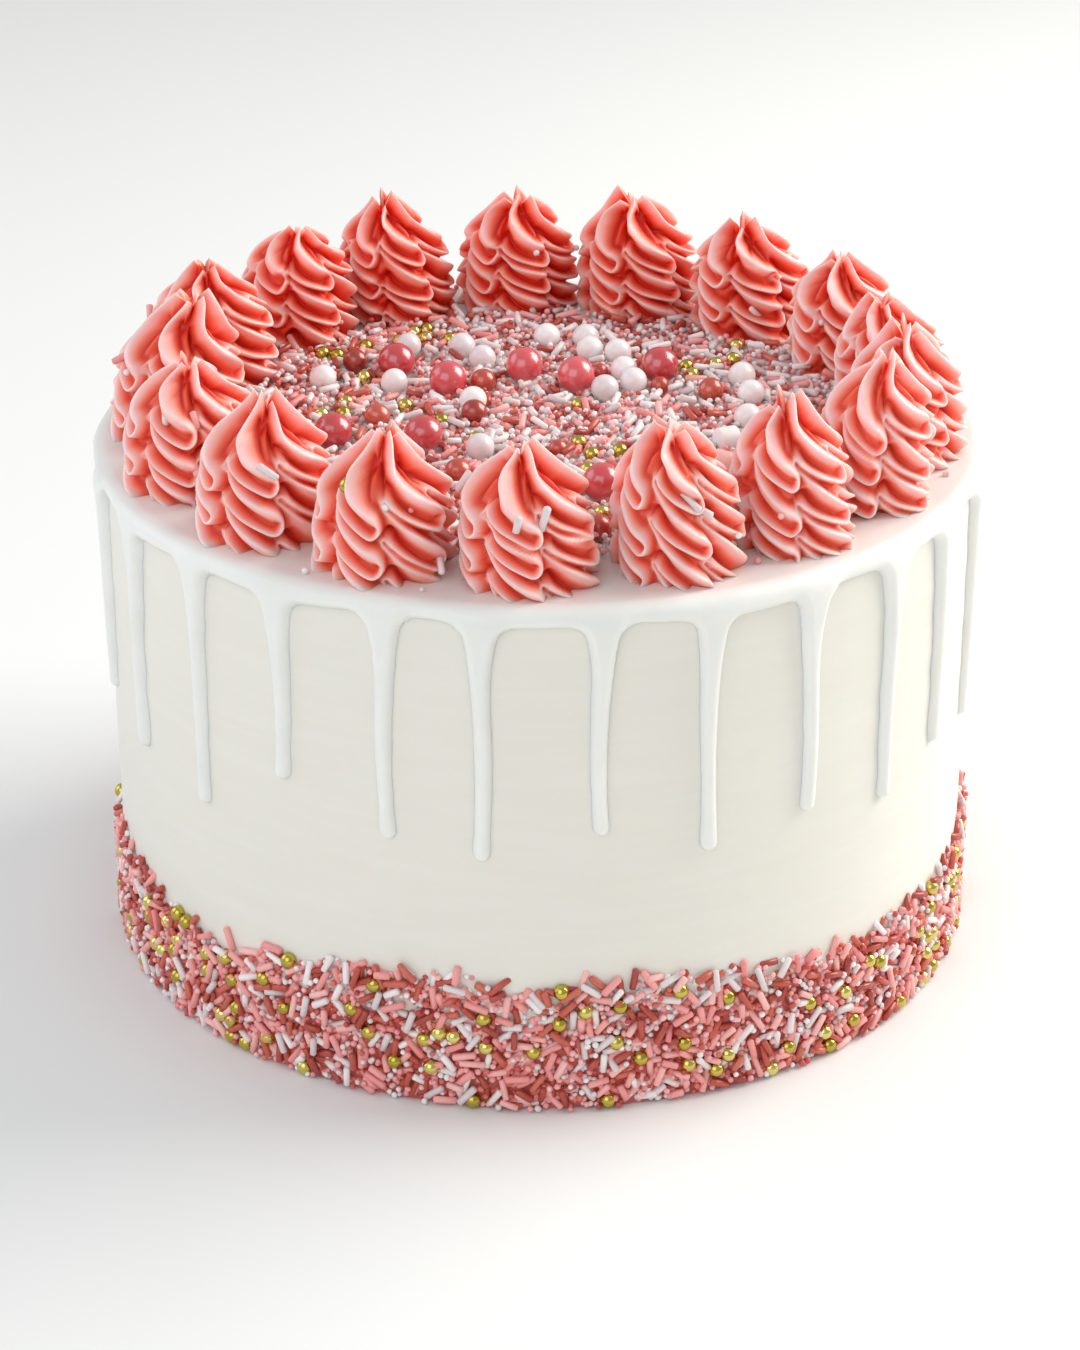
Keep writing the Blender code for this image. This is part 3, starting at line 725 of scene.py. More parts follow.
def swirl_tree():
    """Winds a flat sheet into a swirl: the sheet stands out at the rib lines and sinks between."""
    tree, given = new_tree("piped swirl", (
        ("Height", "NodeSocketFloat", 0.033), ("Radius", "NodeSocketFloat", 0.0155),
        ("Fold top", "NodeSocketFloat", 0.60), ("Fold depth", "NodeSocketFloat", 0.32),
        ("Cap depth", "NodeSocketFloat", 0.62), ("Tuck", "NodeSocketFloat", 0.22),
        ("Torn tip", "NodeSocketFloat", 0.10), ("Tip width", "NodeSocketFloat", 1.0),
        ("Deeper", "NodeSocketFloat", 0.0),
        ("Columns", "NodeSocketInt", 240), ("Rows", "NodeSocketInt", 108),
        ("Start turn", "NodeSocketFloat", 0.0), ("Lean", "NodeSocketVector", (0, 0, 0)),
        ("Place", "NodeSocketVector", (0, 0, 0)), ("Seed", "NodeSocketInt", 0),
        ("Material", "NodeSocketMaterial", None)))

    terms = {socket.name: socket for socket in given}
    kept_values = {
        label: add_node(tree, "GeometryNodeInputNamedAttribute", {"Name": label},
                        data_type="FLOAT").outputs[0]
        for label in ("crease", "tuck", "radius", "tucked", "drop", "share")}
    position = add_node(tree, "GeometryNodeInputPosition").outputs[0]
    part = add_node(tree, "ShaderNodeSeparateXYZ", {0: position}).outputs
    terms.update({"x": part["X"], "y": part["Y"], "z": part["Z"],
                  "crease": kept_values["crease"], "level": kept_values["share"]})
    add_sums(tree, terms, (
        ("middle", "MULTIPLY", "Height", 0.5),
        ("share", "DIVIDE", "y", "Height"),
        ("is crease", "GREATER_THAN", "crease", 0.5)))
    grid = add_node(tree, "GeometryNodeMeshGrid", {
        "Size X": 2 * math.pi * UNROLLED_RADIUS, "Size Y": given["Height"],
        "Vertices X": given["Columns"], "Vertices Y": given["Rows"]})
    up = add_node(tree, "ShaderNodeCombineXYZ", {1: terms["middle"]})
    sheet = add_node(tree, "GeometryNodeSetPosition", {
        "Geometry": grid.outputs["Mesh"], "Offset": up.outputs[0]}).outputs[0]

    # distance to the nearest rib and the nearest crease, and how far that rib is tucked in there
    creases, ribs = add_node(tree, "GeometryNodeSeparateGeometry", {
        "Geometry": given["Geometry"], "Selection": terms["is crease"]}, domain="POINT").outputs
    for label, lines in (("to rib", ribs), ("to crease", creases)):
        terms[label] = add_node(tree, "GeometryNodeProximity", {
            "Geometry": lines, "Sample Position": position},
            target_element="EDGES").outputs["Distance"]
    index = add_node(tree, "GeometryNodeSampleNearest", {
        "Geometry": ribs, "Sample Position": position}, domain="POINT").outputs[0]
    terms["tuck"] = add_node(tree, "GeometryNodeSampleIndex", {
        "Geometry": ribs, "Value": kept_values["tuck"], "Index": index},
        data_type="FLOAT", domain="POINT").outputs[0]

    outline = add_node(tree, "ShaderNodeFloatCurve", {"Value": terms["share"]})
    curve = outline.mapping.curves[0]
    for _ in range(len(SWIRL_OUTLINE) - 2):
        curve.points.new(0.5, 0.5)
    for point, place in zip(curve.points, SWIRL_OUTLINE):
        point.location = place
    outline.mapping.update()
    terms["outline"] = outline.outputs[0]

    add_sums(tree, terms, (
        ("near tip", "MULTIPLY_ADD", "share", 1 / 0.28, -0.72 / 0.28),
        ("tip change", "SUBTRACT", "Tip width", 1.0),
        ("widened", "MULTIPLY_ADD", "near tip", "tip change", 1.0),
        ("reach", "MULTIPLY", "outline", "widened"),
        # 0 on a rib and 1 in a crease
        ("apart", "ADD", "to rib", "to crease"),
        ("apart", "ADD", "apart", 0.0003),
        ("across", "DIVIDE", "to rib", "apart"),
        ("groove", "MULTIPLY", "across", 1.22),
        # full round fingers below
        ("fold wall", "POWER", "groove", 2.1),
        ("fold cut", "MULTIPLY", "fold wall", "Fold depth"),
        # thin fins with deep grooves above, each with a bead along its edge
        ("over folds", "SUBTRACT", "share", "Fold top"),
        ("cap", "DIVIDE", "over folds", 0.14),
        ("bead width", "DIVIDE", 0.0007, "reach"),
        ("bead", "DIVIDE", "to rib", "bead width"),
        ("bead", "MINIMUM", "bead", 1.0),
        ("bead", "MULTIPLY", "bead", "bead"),
        ("bead", "SUBTRACT", 1.0, "bead"),
        ("bead", "SQRT", "bead"),
        ("bead", "SUBTRACT", 1.0, "bead"),
        ("bead", "MULTIPLY", "bead", 0.10),
        ("cap wall", "POWER", "groove", 1.25),
        ("cap wall", "MULTIPLY_ADD", "cap wall", 0.90, "bead"),
        ("cap cut", "MULTIPLY", "cap wall", "Cap depth"),
        ("cap cut", "MULTIPLY", "cap cut", "cap"),
        ("not cap", "SUBTRACT", 1.0, "cap"),
        ("fold cut", "MULTIPLY", "fold cut", "not cap"),
        ("cut", "ADD", "fold cut", "cap cut"),
        ("uncut", "SUBTRACT", 1.0, "cut"),
        ("radius", "MULTIPLY", "uncut", "reach"),
        ("tucked", "MULTIPLY", "tuck", "Tuck"),
        ("tucked", "MULTIPLY", "tucked", "reach"),
        ("rib", "DIVIDE", "x", RIB_SPACING),
        ("rib", "ADD", "rib", RIBS * 0.5 + 0.0001),
        ("rib", "FLOOR", "rib"),
        ("rib", "MODULO", "rib", RIBS)),
        held=("near tip", "groove", "cap"))

    # each rib tears off at its own height, and the grooves between end lower
    terms["torn"] = add_node(tree, "FunctionNodeRandomValue", {
        "ID": terms["rib"], "Seed": given["Seed"]}, data_type="FLOAT").outputs[1]
    add_sums(tree, terms, (
        ("topmost", "MULTIPLY_ADD", "share", 1 / 0.30, -0.70 / 0.30),
        ("high", "POWER", "topmost", 1.6),
        ("torn", "MULTIPLY", "torn", 1.2),
        ("torn", "MULTIPLY_ADD", "groove", 0.9, "torn"),
        ("torn", "MULTIPLY", "torn", "Torn tip"),
        ("drop", "MULTIPLY", "torn", "high"),
        ("drop", "MULTIPLY", "drop", "Height"),
        # the groove as stored for the colour, with the swirl's painted shade added, negative where
        # it is painted lighter
        ("deep", "ADD", "groove", "Deeper"),
        ("turn", "DIVIDE", "x", UNROLLED_RADIUS),
        ("turn", "ADD", "turn", "Start turn"),
        ("cosine", "COSINE", "turn"),
        ("sine", "SINE", "turn"),
        ("row", "SUBTRACT", "Rows", 1.0),
        ("row", "DIVIDE", "Height", "row")),
        held=("topmost",))
    kept = sheet
    for label, term in (("groove", "deep"), ("radius", "radius"), ("tucked", "tucked"),
                        ("drop", "drop"), ("share", "share")):
        kept = add_node(tree, "GeometryNodeStoreNamedAttribute", {
            "Geometry": kept, "Name": label, "Value": terms[term]},
            data_type="FLOAT", domain="POINT").outputs[0]
    tube = add_node(tree, "ShaderNodeCombineXYZ", {
        0: terms["cosine"], 1: terms["sine"], 2: part["Y"]}).outputs[0]
    wound = add_node(tree, "GeometryNodeSetPosition", {"Geometry": kept, "Position": tube})
    wound = add_node(tree, "GeometryNodeMergeByDistance", {
        "Geometry": wound.outputs[0], "Distance": 0.00001}).outputs[0]

    for label, times, weight in (("radius", 3, 0.9), ("tucked", 9, 1.0), ("drop", 4, 1.0)):
        terms[f"soft {label}"] = add_node(tree, "GeometryNodeBlurAttribute", {
            "Value": kept_values[label], "Iterations": times, "Weight": weight},
            data_type="FLOAT").outputs[0]
    # the foot and the summit are drawn in to a point, the summit a little sunk
    add_sums(tree, terms, (
        ("foot", "LESS_THAN", "level", 0.00001),
        ("summit", "GREATER_THAN", "level", 0.99999),
        ("ends", "ADD", "foot", "summit"),
        ("not ends", "SUBTRACT", 1.0, "ends"),
        ("wide", "SUBTRACT", "soft radius", "soft tucked"),
        ("wide", "MULTIPLY", "wide", "Radius"),
        ("wide", "MULTIPLY", "wide", "not ends"),
        ("not summit", "SUBTRACT", 1.0, "summit"),
        ("fallen", "MULTIPLY", "soft drop", "not summit"),
        ("sunk", "MULTIPLY", "summit", "Height"),
        ("fallen", "MULTIPLY_ADD", "sunk", 0.19, "fallen"),
        ("raised", "SUBTRACT", "z", "row"),
        ("raised", "SUBTRACT", "raised", "fallen"),
        ("raised", "MAXIMUM", "raised", 0.0),
        ("leaning", "POWER", "level", 1.5)))
    disc = add_node(tree, "ShaderNodeVectorMath", {0: position, 1: (1, 1, 0)},
                    operation="MULTIPLY").outputs[0]
    spot = add_node(tree, "ShaderNodeVectorMath", {0: disc, "Scale": terms["wide"]},
                    operation="SCALE").outputs[0]
    raised = add_node(tree, "ShaderNodeCombineXYZ", {2: terms["raised"]}).outputs[0]
    lean = add_node(tree, "ShaderNodeVectorMath", {
        0: given["Lean"], "Scale": terms["leaning"]}, operation="SCALE").outputs[0]
    for shift in (raised, lean, given["Place"]):
        spot = add_node(tree, "ShaderNodeVectorMath", {0: spot, 1: shift},
                        operation="ADD").outputs[0]
    shaped = add_node(tree, "GeometryNodeSetPosition", {"Geometry": wound, "Position": spot})
    closed = add_node(tree, "GeometryNodeMergeByDistance", {
        "Geometry": shaped.outputs[0], "Distance": 0.000002}).outputs[0]
    end_tree(tree, closed, given["Material"])
    return tree


def swirl_place(index):
    """Where the middle of a swirl stands."""
    return polar(SWIRLS[index][0], RING_RADIUS)


def swirl_radius(index):
    """As wide as the neighbours allow, up to the nozzle's usual width."""
    here = swirl_place(index)
    beside = (swirl_place(index - 1), swirl_place((index + 1) % len(SWIRLS)))
    nearest = min(math.dist(here, other) for other in beside)
    return min(SWIRL_RADIUS, nearest / 2 - SWIRL_CLEAR) * SWIRL_PRESS


def piped_swirls(material):
    """The ring of swirls: each one's ribs are laid out flat and then wound up."""
    tree = swirl_tree()
    pieces = []
    for index, (angle, height, lean) in enumerate(SWIRLS):
        rng = random.Random(500 + index)
        first = rng.uniform(0.50, 0.64)
        levels = [first * height]
        while levels[-1] > -0.003:
            levels.append(levels[-1] - FOLD_PITCH * rng.uniform(0.82, 1.15))
        right, back = polar(angle, 1.0)
        slant = BACK_SLANT + (FRONT_SLANT - BACK_SLANT) * (0.5 - 0.5 * back)
        slant += rng.uniform(-0.05, 0.05)
        lines = rib_lines(height, levels, slant, 900 + index)
        inward = polar(angle, TIP_RING_RADIUS - RING_RADIUS)
        name = f"swirl_{index + 1:02d}"
        mesh = grow(f"piped_{name}", lines, tree, {
            "Height": 1.03 * height + SWIRL_SINK, "Radius": swirl_radius(index),
            "Fold top": first + 0.08,
            "Start turn": rng.uniform(0.0, 2 * math.pi), "Lean": (inward[0] + lean, inward[1], 0.0),
            "Place": (*swirl_place(index), GLAZE_TOP - SWIRL_SINK),
            "Torn tip": rng.uniform(0.07, 0.12), "Tip width": rng.uniform(0.75, 1.45),
            # painted shade on the swirls at the back and painted light on those on the right
            "Deeper": BACK_PAINTED_SHADE * max(0.0, back) - RIGHT_PAINTED_LIGHT * max(0.0, right),
            "Seed": index, "Material": material})
        pieces.append(finish_piece(f"piped_{name}", mesh, None, (name,)))
    return pieces


# The scattered sugar

def sugar_tree():
    """Sets one rounded sugar piece, a ball or a rod, on each point."""
    tree, given = new_tree("scattered sugar", (
        ("Radius", "NodeSocketFloat", DOT_RADIUS), ("Length", "NodeSocketFloat", 0.0),
        ("Blunt end", "NodeSocketFloat", 1.0),
        ("Segments", "NodeSocketInt", 8), ("Rings", "NodeSocketInt", 5),
        ("Material", "NodeSocketMaterial", None)))
    ball = add_node(tree, "GeometryNodeMeshUVSphere", {
        "Segments": given["Segments"], "Rings": given["Rings"], "Radius": given["Radius"]})
    position = add_node(tree, "GeometryNodeInputPosition").outputs[0]
    part = add_node(tree, "ShaderNodeSeparateXYZ", {0: position}).outputs
    terms = {socket.name: socket for socket in given}
    terms["z"] = part["Z"]
    add_sums(tree, terms, (
        ("side", "SIGN", "z"),
        ("blunt", "MULTIPLY", "z", "Blunt end"),
        ("half", "MULTIPLY", "Length", 0.5),
        ("cap", "MULTIPLY", "Radius", "Blunt end"),
        ("straight", "SUBTRACT", "half", "cap"),
        ("straight", "MAXIMUM", "straight", 0.0),
        ("drawn out", "MULTIPLY_ADD", "side", "straight", "blunt")))
    spot = add_node(tree, "ShaderNodeCombineXYZ", {
        0: part["X"], 1: part["Y"], 2: terms["drawn out"]}).outputs[0]
    piece = add_node(tree, "GeometryNodeSetPosition", {
        "Geometry": ball.outputs["Mesh"], "Position": spot}).outputs[0]
    lie, size = (add_node(tree, "GeometryNodeInputNamedAttribute", {"Name": label},
                          data_type="FLOAT_VECTOR").outputs[0] for label in ("lie", "size"))
    turned = add_node(tree, "FunctionNodeAlignRotationToVector", {"Vector": lie}, axis="Z")
    points = add_node(tree, "GeometryNodeMeshToPoints", {"Mesh": given["Geometry"]}).outputs[0]
    placed = add_node(tree, "GeometryNodeInstanceOnPoints", {
        "Points": points, "Instance": piece, "Rotation": turned.outputs[0], "Scale": size})
    end_tree(tree, placed.outputs[0], given["Material"])
    return tree


class Bed:
    """A sheet of cells that keeps how high the sugar lies; its first axis joins up with itself."""

    def __init__(self, columns, rows):
        self.columns = columns
        self.rows = rows
        self.high = np.zeros((columns, rows))

    def window(self, x, y, reach):
        """Cells within reach of a place: their indices and their offsets in metres."""
        span = int(reach / CELL) + 1
        cx, cy = int(round(x / CELL)), int(round(y / CELL))
        i = np.arange(cx - span, cx + span + 1)
        j = np.arange(max(cy - span, 0), min(cy + span + 1, self.rows))
        dx = i * CELL - x
        dy = j * CELL - y
        return i % self.columns, j, dx[:, None], dy[None, :]

    def rest(self, x, y, radius):
        """Height of the centre of a ball that is let down here."""
        i, j, dx, dy = self.window(x, y, radius)
        room = radius * radius - dx * dx - dy * dy
        high = self.high[np.ix_(i, j)]
        lifted = np.where(room > 0.0, high + np.sqrt(np.maximum(room, 0.0)), -1.0)
        return float(lifted.max())

    def lay_ball(self, x, y, centre, radius):
        """Raises the bed to the top of a ball."""
        i, j, dx, dy = self.window(x, y, radius)
        room = radius * radius - dx * dx - dy * dy
        cells = np.ix_(i, j)
        top = np.where(room > 0.0, centre + np.sqrt(np.maximum(room, 0.0)), -1.0)
        self.high[cells] = np.maximum(self.high[cells], top)

    def rest_rod(self, x, y, turn, length, radius):
        """Height of the middle of a rod that is let down here, and its rise over its length."""
        ux, uy = math.cos(turn), math.sin(turn)
        steps = [(t, self.rest(x + ux * t * length, y + uy * t * length, radius))
                 for t in (-0.42, -0.21, 0.0, 0.21, 0.42)]
        left = max(steps[:2], key=lambda s: s[1])
        right = max(steps[3:], key=lambda s: s[1])
        slope = (right[1] - left[1]) / ((right[0] - left[0]) * length)
        slope = max(-0.6, min(0.6, slope))
        middle = max(z - slope * t * length for t, z in steps)
        return middle, slope

    def lay_rod(self, x, y, turn, length, radius, middle, slope):
        """Raises the bed to the top of a rod, as a row of balls."""
        ux, uy = math.cos(turn), math.sin(turn)
        half = 0.5 * length - 0.5 * radius
        for t in np.arange(-half, half + 0.0003, 0.0006):
            self.lay_ball(x + ux * t, y + uy * t, middle + slope * t, radius)


class Scatter:
    """Points of one kind of sugar piece: place, direction, size and tone of each."""

    def __init__(self):
        self.place = []
        self.lie = []
        self.size = []
        self.tone = []

    def add(self, place, lie, size, tone):
        self.place.append(tuple(place))
        self.lie.append(tuple(lie))
        self.size.append(tuple(size))
        self.tone.append(tone)

    def mesh(self, name):
        mesh = bpy.data.meshes.new(name)
        mesh.from_pydata(self.place, [], [])
        for label, values in (("lie", self.lie), ("size", self.size)):
            layer = mesh.attributes.new(label, "FLOAT_VECTOR", "POINT")
            layer.data.foreach_set("vector", np.array(values, dtype=np.float32).ravel())
        mesh.attributes.new("tone", "FLOAT", "POINT").data.foreach_set("value", self.tone)
        return mesh


def pick_kind(rng, shares):
    """One kind, by the shares in which they were mixed."""
    draw = rng.random() * sum(share for _, share in shares)
    for kind, share in shares:
        draw -= share
        if draw <= 0.0:
            return kind
    return shares[-1][0]


# Shares of each kind on the top, in the band, under the band's surface and stuck to the swirls
TOP_MIX = (("white_rods", 0.10), ("pink_rods", 0.045), ("burgundy_rods", 0.035),
           ("white_dots", 0.37), ("pink_dots", 0.29), ("red_dots", 0.16))
BAND_MIX = (("white_rods", 0.12), ("pink_rods", 0.18), ("burgundy_rods", 0.14),
            ("white_dots", 0.18), ("pink_dots", 0.24), ("red_dots", 0.14))
BASE_MIX = (("white_rods", 0.06), ("pink_rods", 0.16), ("burgundy_rods", 0.16),
            ("white_dots", 0.08), ("pink_dots", 0.24), ("red_dots", 0.30))
STRAY_MIX = (("white_rods", 0.22), ("pink_rods", 0.1), ("white_dots", 0.46), ("pink_dots", 0.22))
STRAY_LIMIT = 0.1055
CRUMB_LIMIT = CAKE_RADIUS - RIM_ROUND - 0.0010
CRUMB_MIX = (("white_dots", 0.3), ("pink_dots", 0.3), ("red_dots", 0.3), ("white_rods", 0.1))
RODS = ("white_rods", "pink_rods", "burgundy_rods")
# How many are strewn; those that find no room are left out
TOP_COUNT = 7000
TOP_GOLD = 24
GOLD_SPREAD = 0.007
TOP_LIMIT = 0.0038
TOP_HALF_SPAN = 0.1040
CARPET_REACH = 0.0800
CARPET_FADE = 0.0070
SETTLING_TRIES = 4
BAND_BASE = 4600
BAND_COUNT = 6400
BAND_GOLD = 190
BAND_BED_HEIGHT = 0.060
BAND_GOLD_LIMIT = 0.0060
# The band thins out from a little below its top edge to a little above it
BAND_OVER = 0.0035
BAND_UNDER = 0.0015
BAND_FADE = 0.0055


def let_down(bed, kind, choose, limit):
    """Lets a few of one kind down at different spots and keeps the one that comes to lie lowest."""
    best = None
    for _ in range(SETTLING_TRIES):
        spot = choose(kind)
        if spot is None:
            continue
        x, y, turn, length, radius = spot
        if kind in RODS:
            middle, slope = bed.rest_rod(x, y, turn, length, PRESSED * radius)
        else:
            middle, slope = bed.rest(x, y, PRESSED * radius), 0.0
        if middle + radius > limit:
            continue
        if best is None or middle < best[5]:
            best = (x, y, turn, length, radius, middle, slope)
    if best is None:
        return None
    x, y, turn, length, radius, middle, slope = best
    if kind in RODS:
        bed.lay_rod(x, y, turn, length, radius, middle, slope)
    else:
        bed.lay_ball(x, y, middle, radius)
    return best


def piece_size(rng, kind):
    """Length and radius of one piece, which differ a little from the next one's."""
    if kind == "gold_balls":
        return 0.0, GOLD_RADIUS
    if kind in RODS:
        return ROD_LENGTH * rng.uniform(0.72, 1.15), ROD_RADIUS * rng.uniform(0.92, 1.10)
    return 0.0, DOT_RADIUS * rng.uniform(0.85, 1.15)


def size_factor(kind, length, radius):
    """The scale of a piece against the usual one of its kind."""
    if kind == "gold_balls":
        return 1, 1, 1
    if kind in RODS:
        return radius / ROD_RADIUS, radius / ROD_RADIUS, length / ROD_LENGTH
    return (radius / DOT_RADIUS,) * 3


def scatter_top(scatters, balls):
    """The carpet of sugar inside the ring of swirls, let down piece by piece."""
    rng = random.Random(41)
    cells = int(2 * TOP_HALF_SPAN / CELL)
    bed = Bed(cells, cells)
    blocked = [(*swirl_place(i), 0.86 * swirl_radius(i)) for i in range(len(SWIRLS))]
    for x, y, radius in balls:
        bed.lay_ball(x + TOP_HALF_SPAN, y + TOP_HALF_SPAN, radius, radius)
    extra = []
    while len(extra) < TOP_GOLD:
        near = rng.choice(GOLD_BALLS)
        extra.append((near[0] + rng.gauss(0.0, GOLD_SPREAD),
                      near[1] + rng.gauss(0.0, GOLD_SPREAD)))
    for x, y in (*GOLD_BALLS, *extra):
        centre = bed.rest(x + TOP_HALF_SPAN, y + TOP_HALF_SPAN, GOLD_RADIUS)
        if centre > 2.0 * GOLD_RADIUS:
            continue
        bed.lay_ball(x + TOP_HALF_SPAN, y + TOP_HALF_SPAN, centre, GOLD_RADIUS)
        place = (x, y, GLAZE_TOP + centre)
        scatters["gold_balls"].add(place, (0, 0, 1), (1, 1, 1), rng.random())

    def choose(kind):
        length, radius = piece_size(rng, kind)
        for _ in range(30):
            angle = rng.uniform(0.0, 2 * math.pi)
            reach = CARPET_REACH * math.sqrt(rng.random())
            x, y = reach * math.cos(angle), reach * math.sin(angle)
            faded = (reach - CARPET_REACH) / CARPET_FADE + 1.0
            if faded > 0.0 and rng.random() < faded:
                continue
            if all(math.hypot(x - bx, y - by) > b + radius for bx, by, b in blocked):
                turn = rng.uniform(0.0, math.pi)
                return x + TOP_HALF_SPAN, y + TOP_HALF_SPAN, turn, length, radius
        return None

    for _ in range(TOP_COUNT):
        kind = pick_kind(rng, TOP_MIX)
        laid = let_down(bed, kind, choose, TOP_LIMIT)
        if laid is None:
            continue
        x, y, turn, length, radius, middle, slope = laid
        lie = Vector((math.cos(turn), math.sin(turn), slope)).normalized()
        place = (x - TOP_HALF_SPAN, y - TOP_HALF_SPAN, GLAZE_TOP + middle)
        scatters[kind].add(place, lie, size_factor(kind, length, radius), rng.random())


def band_top(angle):
    """The height that the band of sprinkles reaches at an angle."""
    angle %= 360.0
    if BAND_TOP[0][0] <= angle <= BAND_TOP[-1][0]:
        return float(np.interp(angle, [a for a, _ in BAND_TOP], [z for _, z in BAND_TOP]))
    turn = math.radians(angle)
    return BACK_BAND_TOP + 0.0020 * math.sin(3 * turn + 0.5) + 0.0022 * math.sin(7 * turn + 2.0)


def scatter_band(scatters):
    """The band of sugar pressed on round the foot, laid from the cream outwards."""
    rng = random.Random(77)
    around = 2 * math.pi * CAKE_RADIUS
    columns = int(around / CELL)
    bed = Bed(columns, int(BAND_BED_HEIGHT / CELL))

    def choose(kind):
        length, radius = piece_size(rng, kind)
        for _ in range(20):
            s = rng.uniform(0.0, around)
            turn = rng.uniform(0.0, math.pi)
            top = band_top(math.degrees(s / CAKE_RADIUS)) + 0.0012 * math.sin(s * 900.0)
            z = rng.uniform(0.0, top + BAND_OVER)
            low = 0.5 * length * abs(math.sin(turn)) if kind in RODS else 0.0
            z = max(z, low + radius + 0.0001)
            if z > top - BAND_UNDER and rng.random() < (z - top + BAND_UNDER) / BAND_FADE:
                continue
            return s, z, turn, length, radius
        return None

    order = [pick_kind(rng, BASE_MIX) for _ in range(BAND_BASE)]
    order += [pick_kind(rng, BAND_MIX) for _ in range(BAND_COUNT)]
    order += ["gold_balls"] * BAND_GOLD
    for number, kind in enumerate(order):
        if number < BAND_BASE:
            # the first ones are pressed half into the cream, wherever they fall
            spot = choose(kind)
            if spot is None:
                continue
            laid = (*spot, 0.1 * DOT_RADIUS, 0.0)
        else:
            limit = (BAND_GOLD_LIMIT if kind == "gold_balls"
                     else BAND_LIMIT - CAKE_RADIUS + 0.0004)
            laid = let_down(bed, kind, choose, limit)
        if laid is None:
            continue
        s, z, turn, length, radius, middle, slope = laid
        angle = s / CAKE_RADIUS
        tangent = Vector((-math.sin(angle), math.cos(angle), 0.0))
        outward = Vector((math.cos(angle), math.sin(angle), 0.0))
        lie = tangent * math.cos(turn) + Vector((0, 0, math.sin(turn))) + outward * slope
        most = BAND_LIMIT - radius - 0.5 * length * abs(slope) / math.hypot(1.0, slope)
        place = outward * min(CAKE_RADIUS + middle - 0.0001, most)
        place.z = z
        factor = size_factor(kind, length, radius)
        scatters[kind].add(place, lie.normalized(), factor, rng.random())


def stick_strays(scatters, swirls):
    """Single rods and dots that stuck to the swirls while the top was strewn."""
    rng = random.Random(63)
    for index, swirl in enumerate(swirls):
        tree = BVHTree.FromPolygons([v.co for v in swirl.data.vertices],
                                    [p.vertices for p in swirl.data.polygons])
        axis = Vector((*swirl_place(index), 0.0))
        strays = [(pick_kind(rng, STRAY_MIX), rng.uniform(0.0, 360.0), rng.uniform(0.05, 0.62))
                  for _ in range(rng.choice((2, 3, 4, 6)))]
        strays += [stray[1:] for stray in STUCK if stray[0] == index]
        for kind, side, share in strays:
            length, radius = piece_size(rng, kind)
            side = math.radians(side)
            height = GLAZE_TOP + SWIRLS[index][1] * share
            start = axis + Vector((0.03 * math.cos(side), 0.03 * math.sin(side), height + 0.004))
            aim = Vector((-math.cos(side), -math.sin(side), -0.25)).normalized()
            spot, normal, _, _ = tree.ray_cast(start, aim)
            if spot is None:
                continue
            fall = Vector((rng.uniform(-1, 1), rng.uniform(-1, 1), -1.3))
            along = (fall - normal * fall.dot(normal)).normalized()
            place = spot + normal * radius * 0.7
            if math.hypot(place.x, place.y) > STRAY_LIMIT:
                continue
            scatters[kind].add(place, along, size_factor(kind, length, radius), rng.random())


def drop_crumbs(scatters):
    """Single dots and rods that rolled out between the swirls onto the glaze."""
    rng = random.Random(29)
    for index in range(len(SWIRLS)):
        x, y = swirl_place(index)
        out = math.degrees(math.atan2(y, x))
        for _ in range(rng.choice((1, 2, 3, 5))):
            kind = pick_kind(rng, CRUMB_MIX)
            length, radius = piece_size(rng, kind)
            step = polar(out + rng.uniform(-85.0, 85.0),
                         swirl_radius(index) + radius + rng.uniform(0.0003, 0.0020))
            spot = (x + step[0], y + step[1])
            if math.hypot(*spot) > CRUMB_LIMIT - 0.5 * length:
                continue
            if any(math.dist(spot, swirl_place(i)) < swirl_radius(i) + 0.5 * length
                   for i in range(len(SWIRLS))):
                continue
            lie = (*polar(rng.uniform(0.0, 180.0), 1.0), 0.0)
            scatters[kind].add((*spot, GLAZE_TOP + 0.85 * radius), lie,
                               size_factor(kind, length, radius), rng.random())


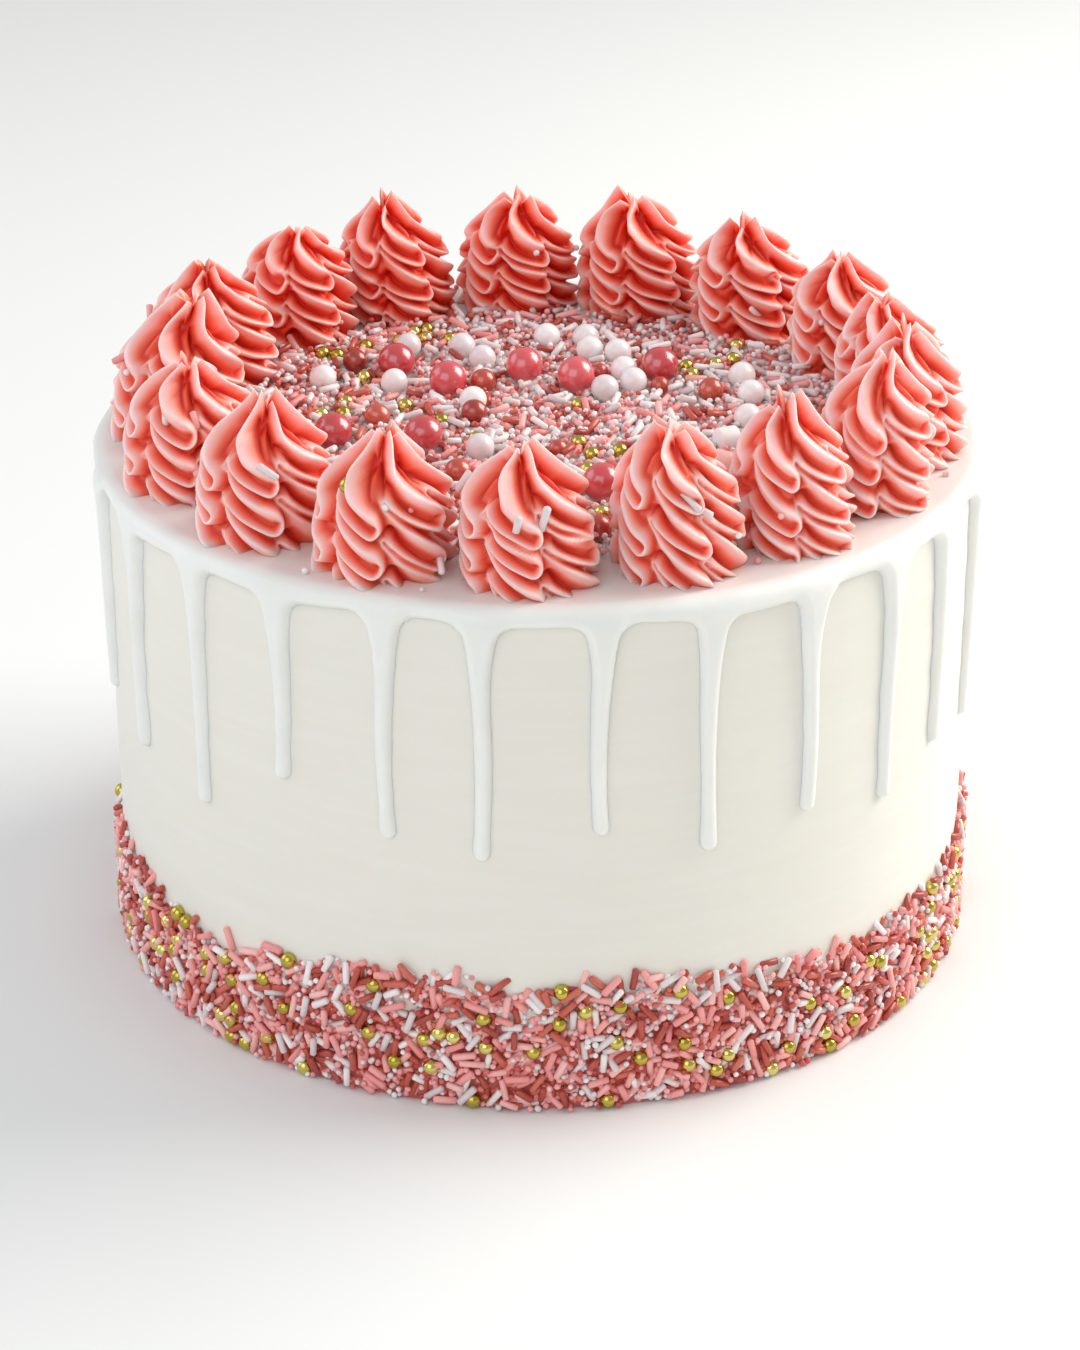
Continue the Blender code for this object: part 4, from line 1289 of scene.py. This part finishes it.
def sugar_pieces(swirls):
    """Every loose ball, chunk, rod and dot."""
    tree = sugar_tree()
    finishes = {kind: (sugar_finish(name, codes, roughness, **more), slot)
                for kind, (name, codes, roughness, more, slot) in SUGARS.items()}
    balls = []
    rng = random.Random(9)
    for group, node_name, count, kind in (
            ("rose_balls", "pink_ball", 8, "rose_balls"),
            ("white_pearls", "white_ball", 17, "white_pearls"),
            ("copper_pearls", "copper_ball", 7, "copper_pearls"),
            ("small_copper_pearls", "small_copper_ball", 3, "copper_pearls")):
        scatter = Scatter()
        names = [f"{node_name}_{i + 1:02d}" for i in range(count)]
        for name in names:
            low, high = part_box(name)
            radius = 0.5 * (high[2] - low[2])
            x, y = 0.5 * (low[0] + high[0]), 0.5 * (low[1] + high[1])
            balls.append((x, y, radius))
            lie = (rng.uniform(-1, 1), rng.uniform(-1, 1), rng.uniform(0.2, 1))
            size = (1, 1, rng.uniform(0.96, 1.0))
            scatter.add((x, y, GLAZE_TOP + radius), lie, size, rng.random())
        material, slot = finishes[kind]
        mesh = grow(group, scatter.mesh(group), tree, {
            "Radius": radius, "Segments": 32, "Rings": 20, "Material": material})
        finish_piece(group, mesh, None, names)

    for name, angle in CHUNK_ANGLES.items():
        low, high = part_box(name)
        x, y = 0.5 * (low[0] + high[0]), 0.5 * (low[1] + high[1])
        scatter = Scatter()
        scatter.add((x, y, GLAZE_TOP + CHUNK_RADIUS), (*polar(angle, 1.0), 0.0), (1, 1, 1), 0.6)
        material, slot = finishes[name]
        mesh = grow(f"sugar_{name}", scatter.mesh(name), tree, {
            "Radius": CHUNK_RADIUS, "Length": CHUNK_LENGTH, "Blunt end": 0.35,
            "Segments": 40, "Rings": 25, "Material": material})
        finish_piece(f"sugar_{name}", mesh, None, (name,))
        balls.append((x, y, CHUNK_RADIUS))

    kinds = (*[kind for kind, _ in BAND_MIX], "gold_balls")
    scatters = {kind: Scatter() for kind in kinds}
    scatter_top(scatters, balls)
    scatter_band(scatters)
    stick_strays(scatters, swirls)
    drop_crumbs(scatters)
    for kind in kinds:
        material, slot = finishes[kind]
        inputs = {"Radius": DOT_RADIUS, "Segments": 6, "Rings": 4, "Material": material}
        if kind in RODS:
            inputs.update({"Radius": ROD_RADIUS, "Length": ROD_LENGTH, "Blunt end": 0.6,
                           "Segments": 7, "Rings": 5})
        if kind == "gold_balls":
            inputs.update({"Radius": GOLD_RADIUS, "Segments": 14, "Rings": 9})
        mesh = grow(kind, scatters[kind].mesh(kind), tree, inputs)
        finish_piece(kind, mesh, None)


# Studio

def studio():
    """Pale floor, soft daylight from the right and behind, and the photo's viewing angle."""
    bpy.ops.mesh.primitive_plane_add(size=6.0, location=(0.0, 0.0, -0.0002))
    floor = bpy.context.object
    floor.name = "floor"
    material, _, shader = new_finish("pale_floor")
    shader.inputs["Base Color"].default_value = srgb("#ECECEA")
    shader.inputs["Roughness"].default_value = 0.7
    floor.data.materials.append(material)

    def soft_light(name, spot, size, power, code, aim=(0.0, 0.0, 0.08)):
        light = bpy.data.lights.new(name, "AREA")
        light.size = size
        light.energy = power
        light.color = srgb(code)[:3]
        holder = bpy.data.objects.new(name, light)
        holder.location = spot
        holder.rotation_euler = (Vector(aim) - Vector(spot)).to_track_quat("-Z", "Y").to_euler()
        bpy.context.scene.collection.objects.link(holder)

    soft_light("window", (0.95, 0.35, 0.75), 0.9, 17.0, "#FFFCF6")
    soft_light("front fill", (-0.5, -1.1, 0.8), 1.2, 6.0, "#F6F9FF")
    soft_light("left fill", (-1.0, 0.2, 0.6), 0.9, 3.5, "#F2F6FF")

    world = bpy.data.worlds.new("soft room")
    world.use_nodes = True
    world.node_tree.nodes["Background"].inputs["Color"].default_value = srgb("#F3F5F7")
    world.node_tree.nodes["Background"].inputs["Strength"].default_value = 0.55
    bpy.context.scene.world = world
    bpy.context.scene.view_settings.view_transform = "Standard"

    camera = bpy.data.cameras.new("camera")
    camera.sensor_fit = "VERTICAL"
    camera.sensor_height = 36.0
    camera.lens = CAMERA_LENS
    holder = bpy.data.objects.new("camera", camera)
    holder.location = CAMERA_SPOT
    holder.rotation_euler = (math.radians(90.0 - CAMERA_PITCH), 0.0, 0.0)
    bpy.context.scene.collection.objects.link(holder)
    bpy.context.scene.camera = holder


studio()
frosted_cake(ivory_buttercream())
glaze_skin(white_glaze())
swirls = piped_swirls(coral_buttercream())
sugar_pieces(swirls)
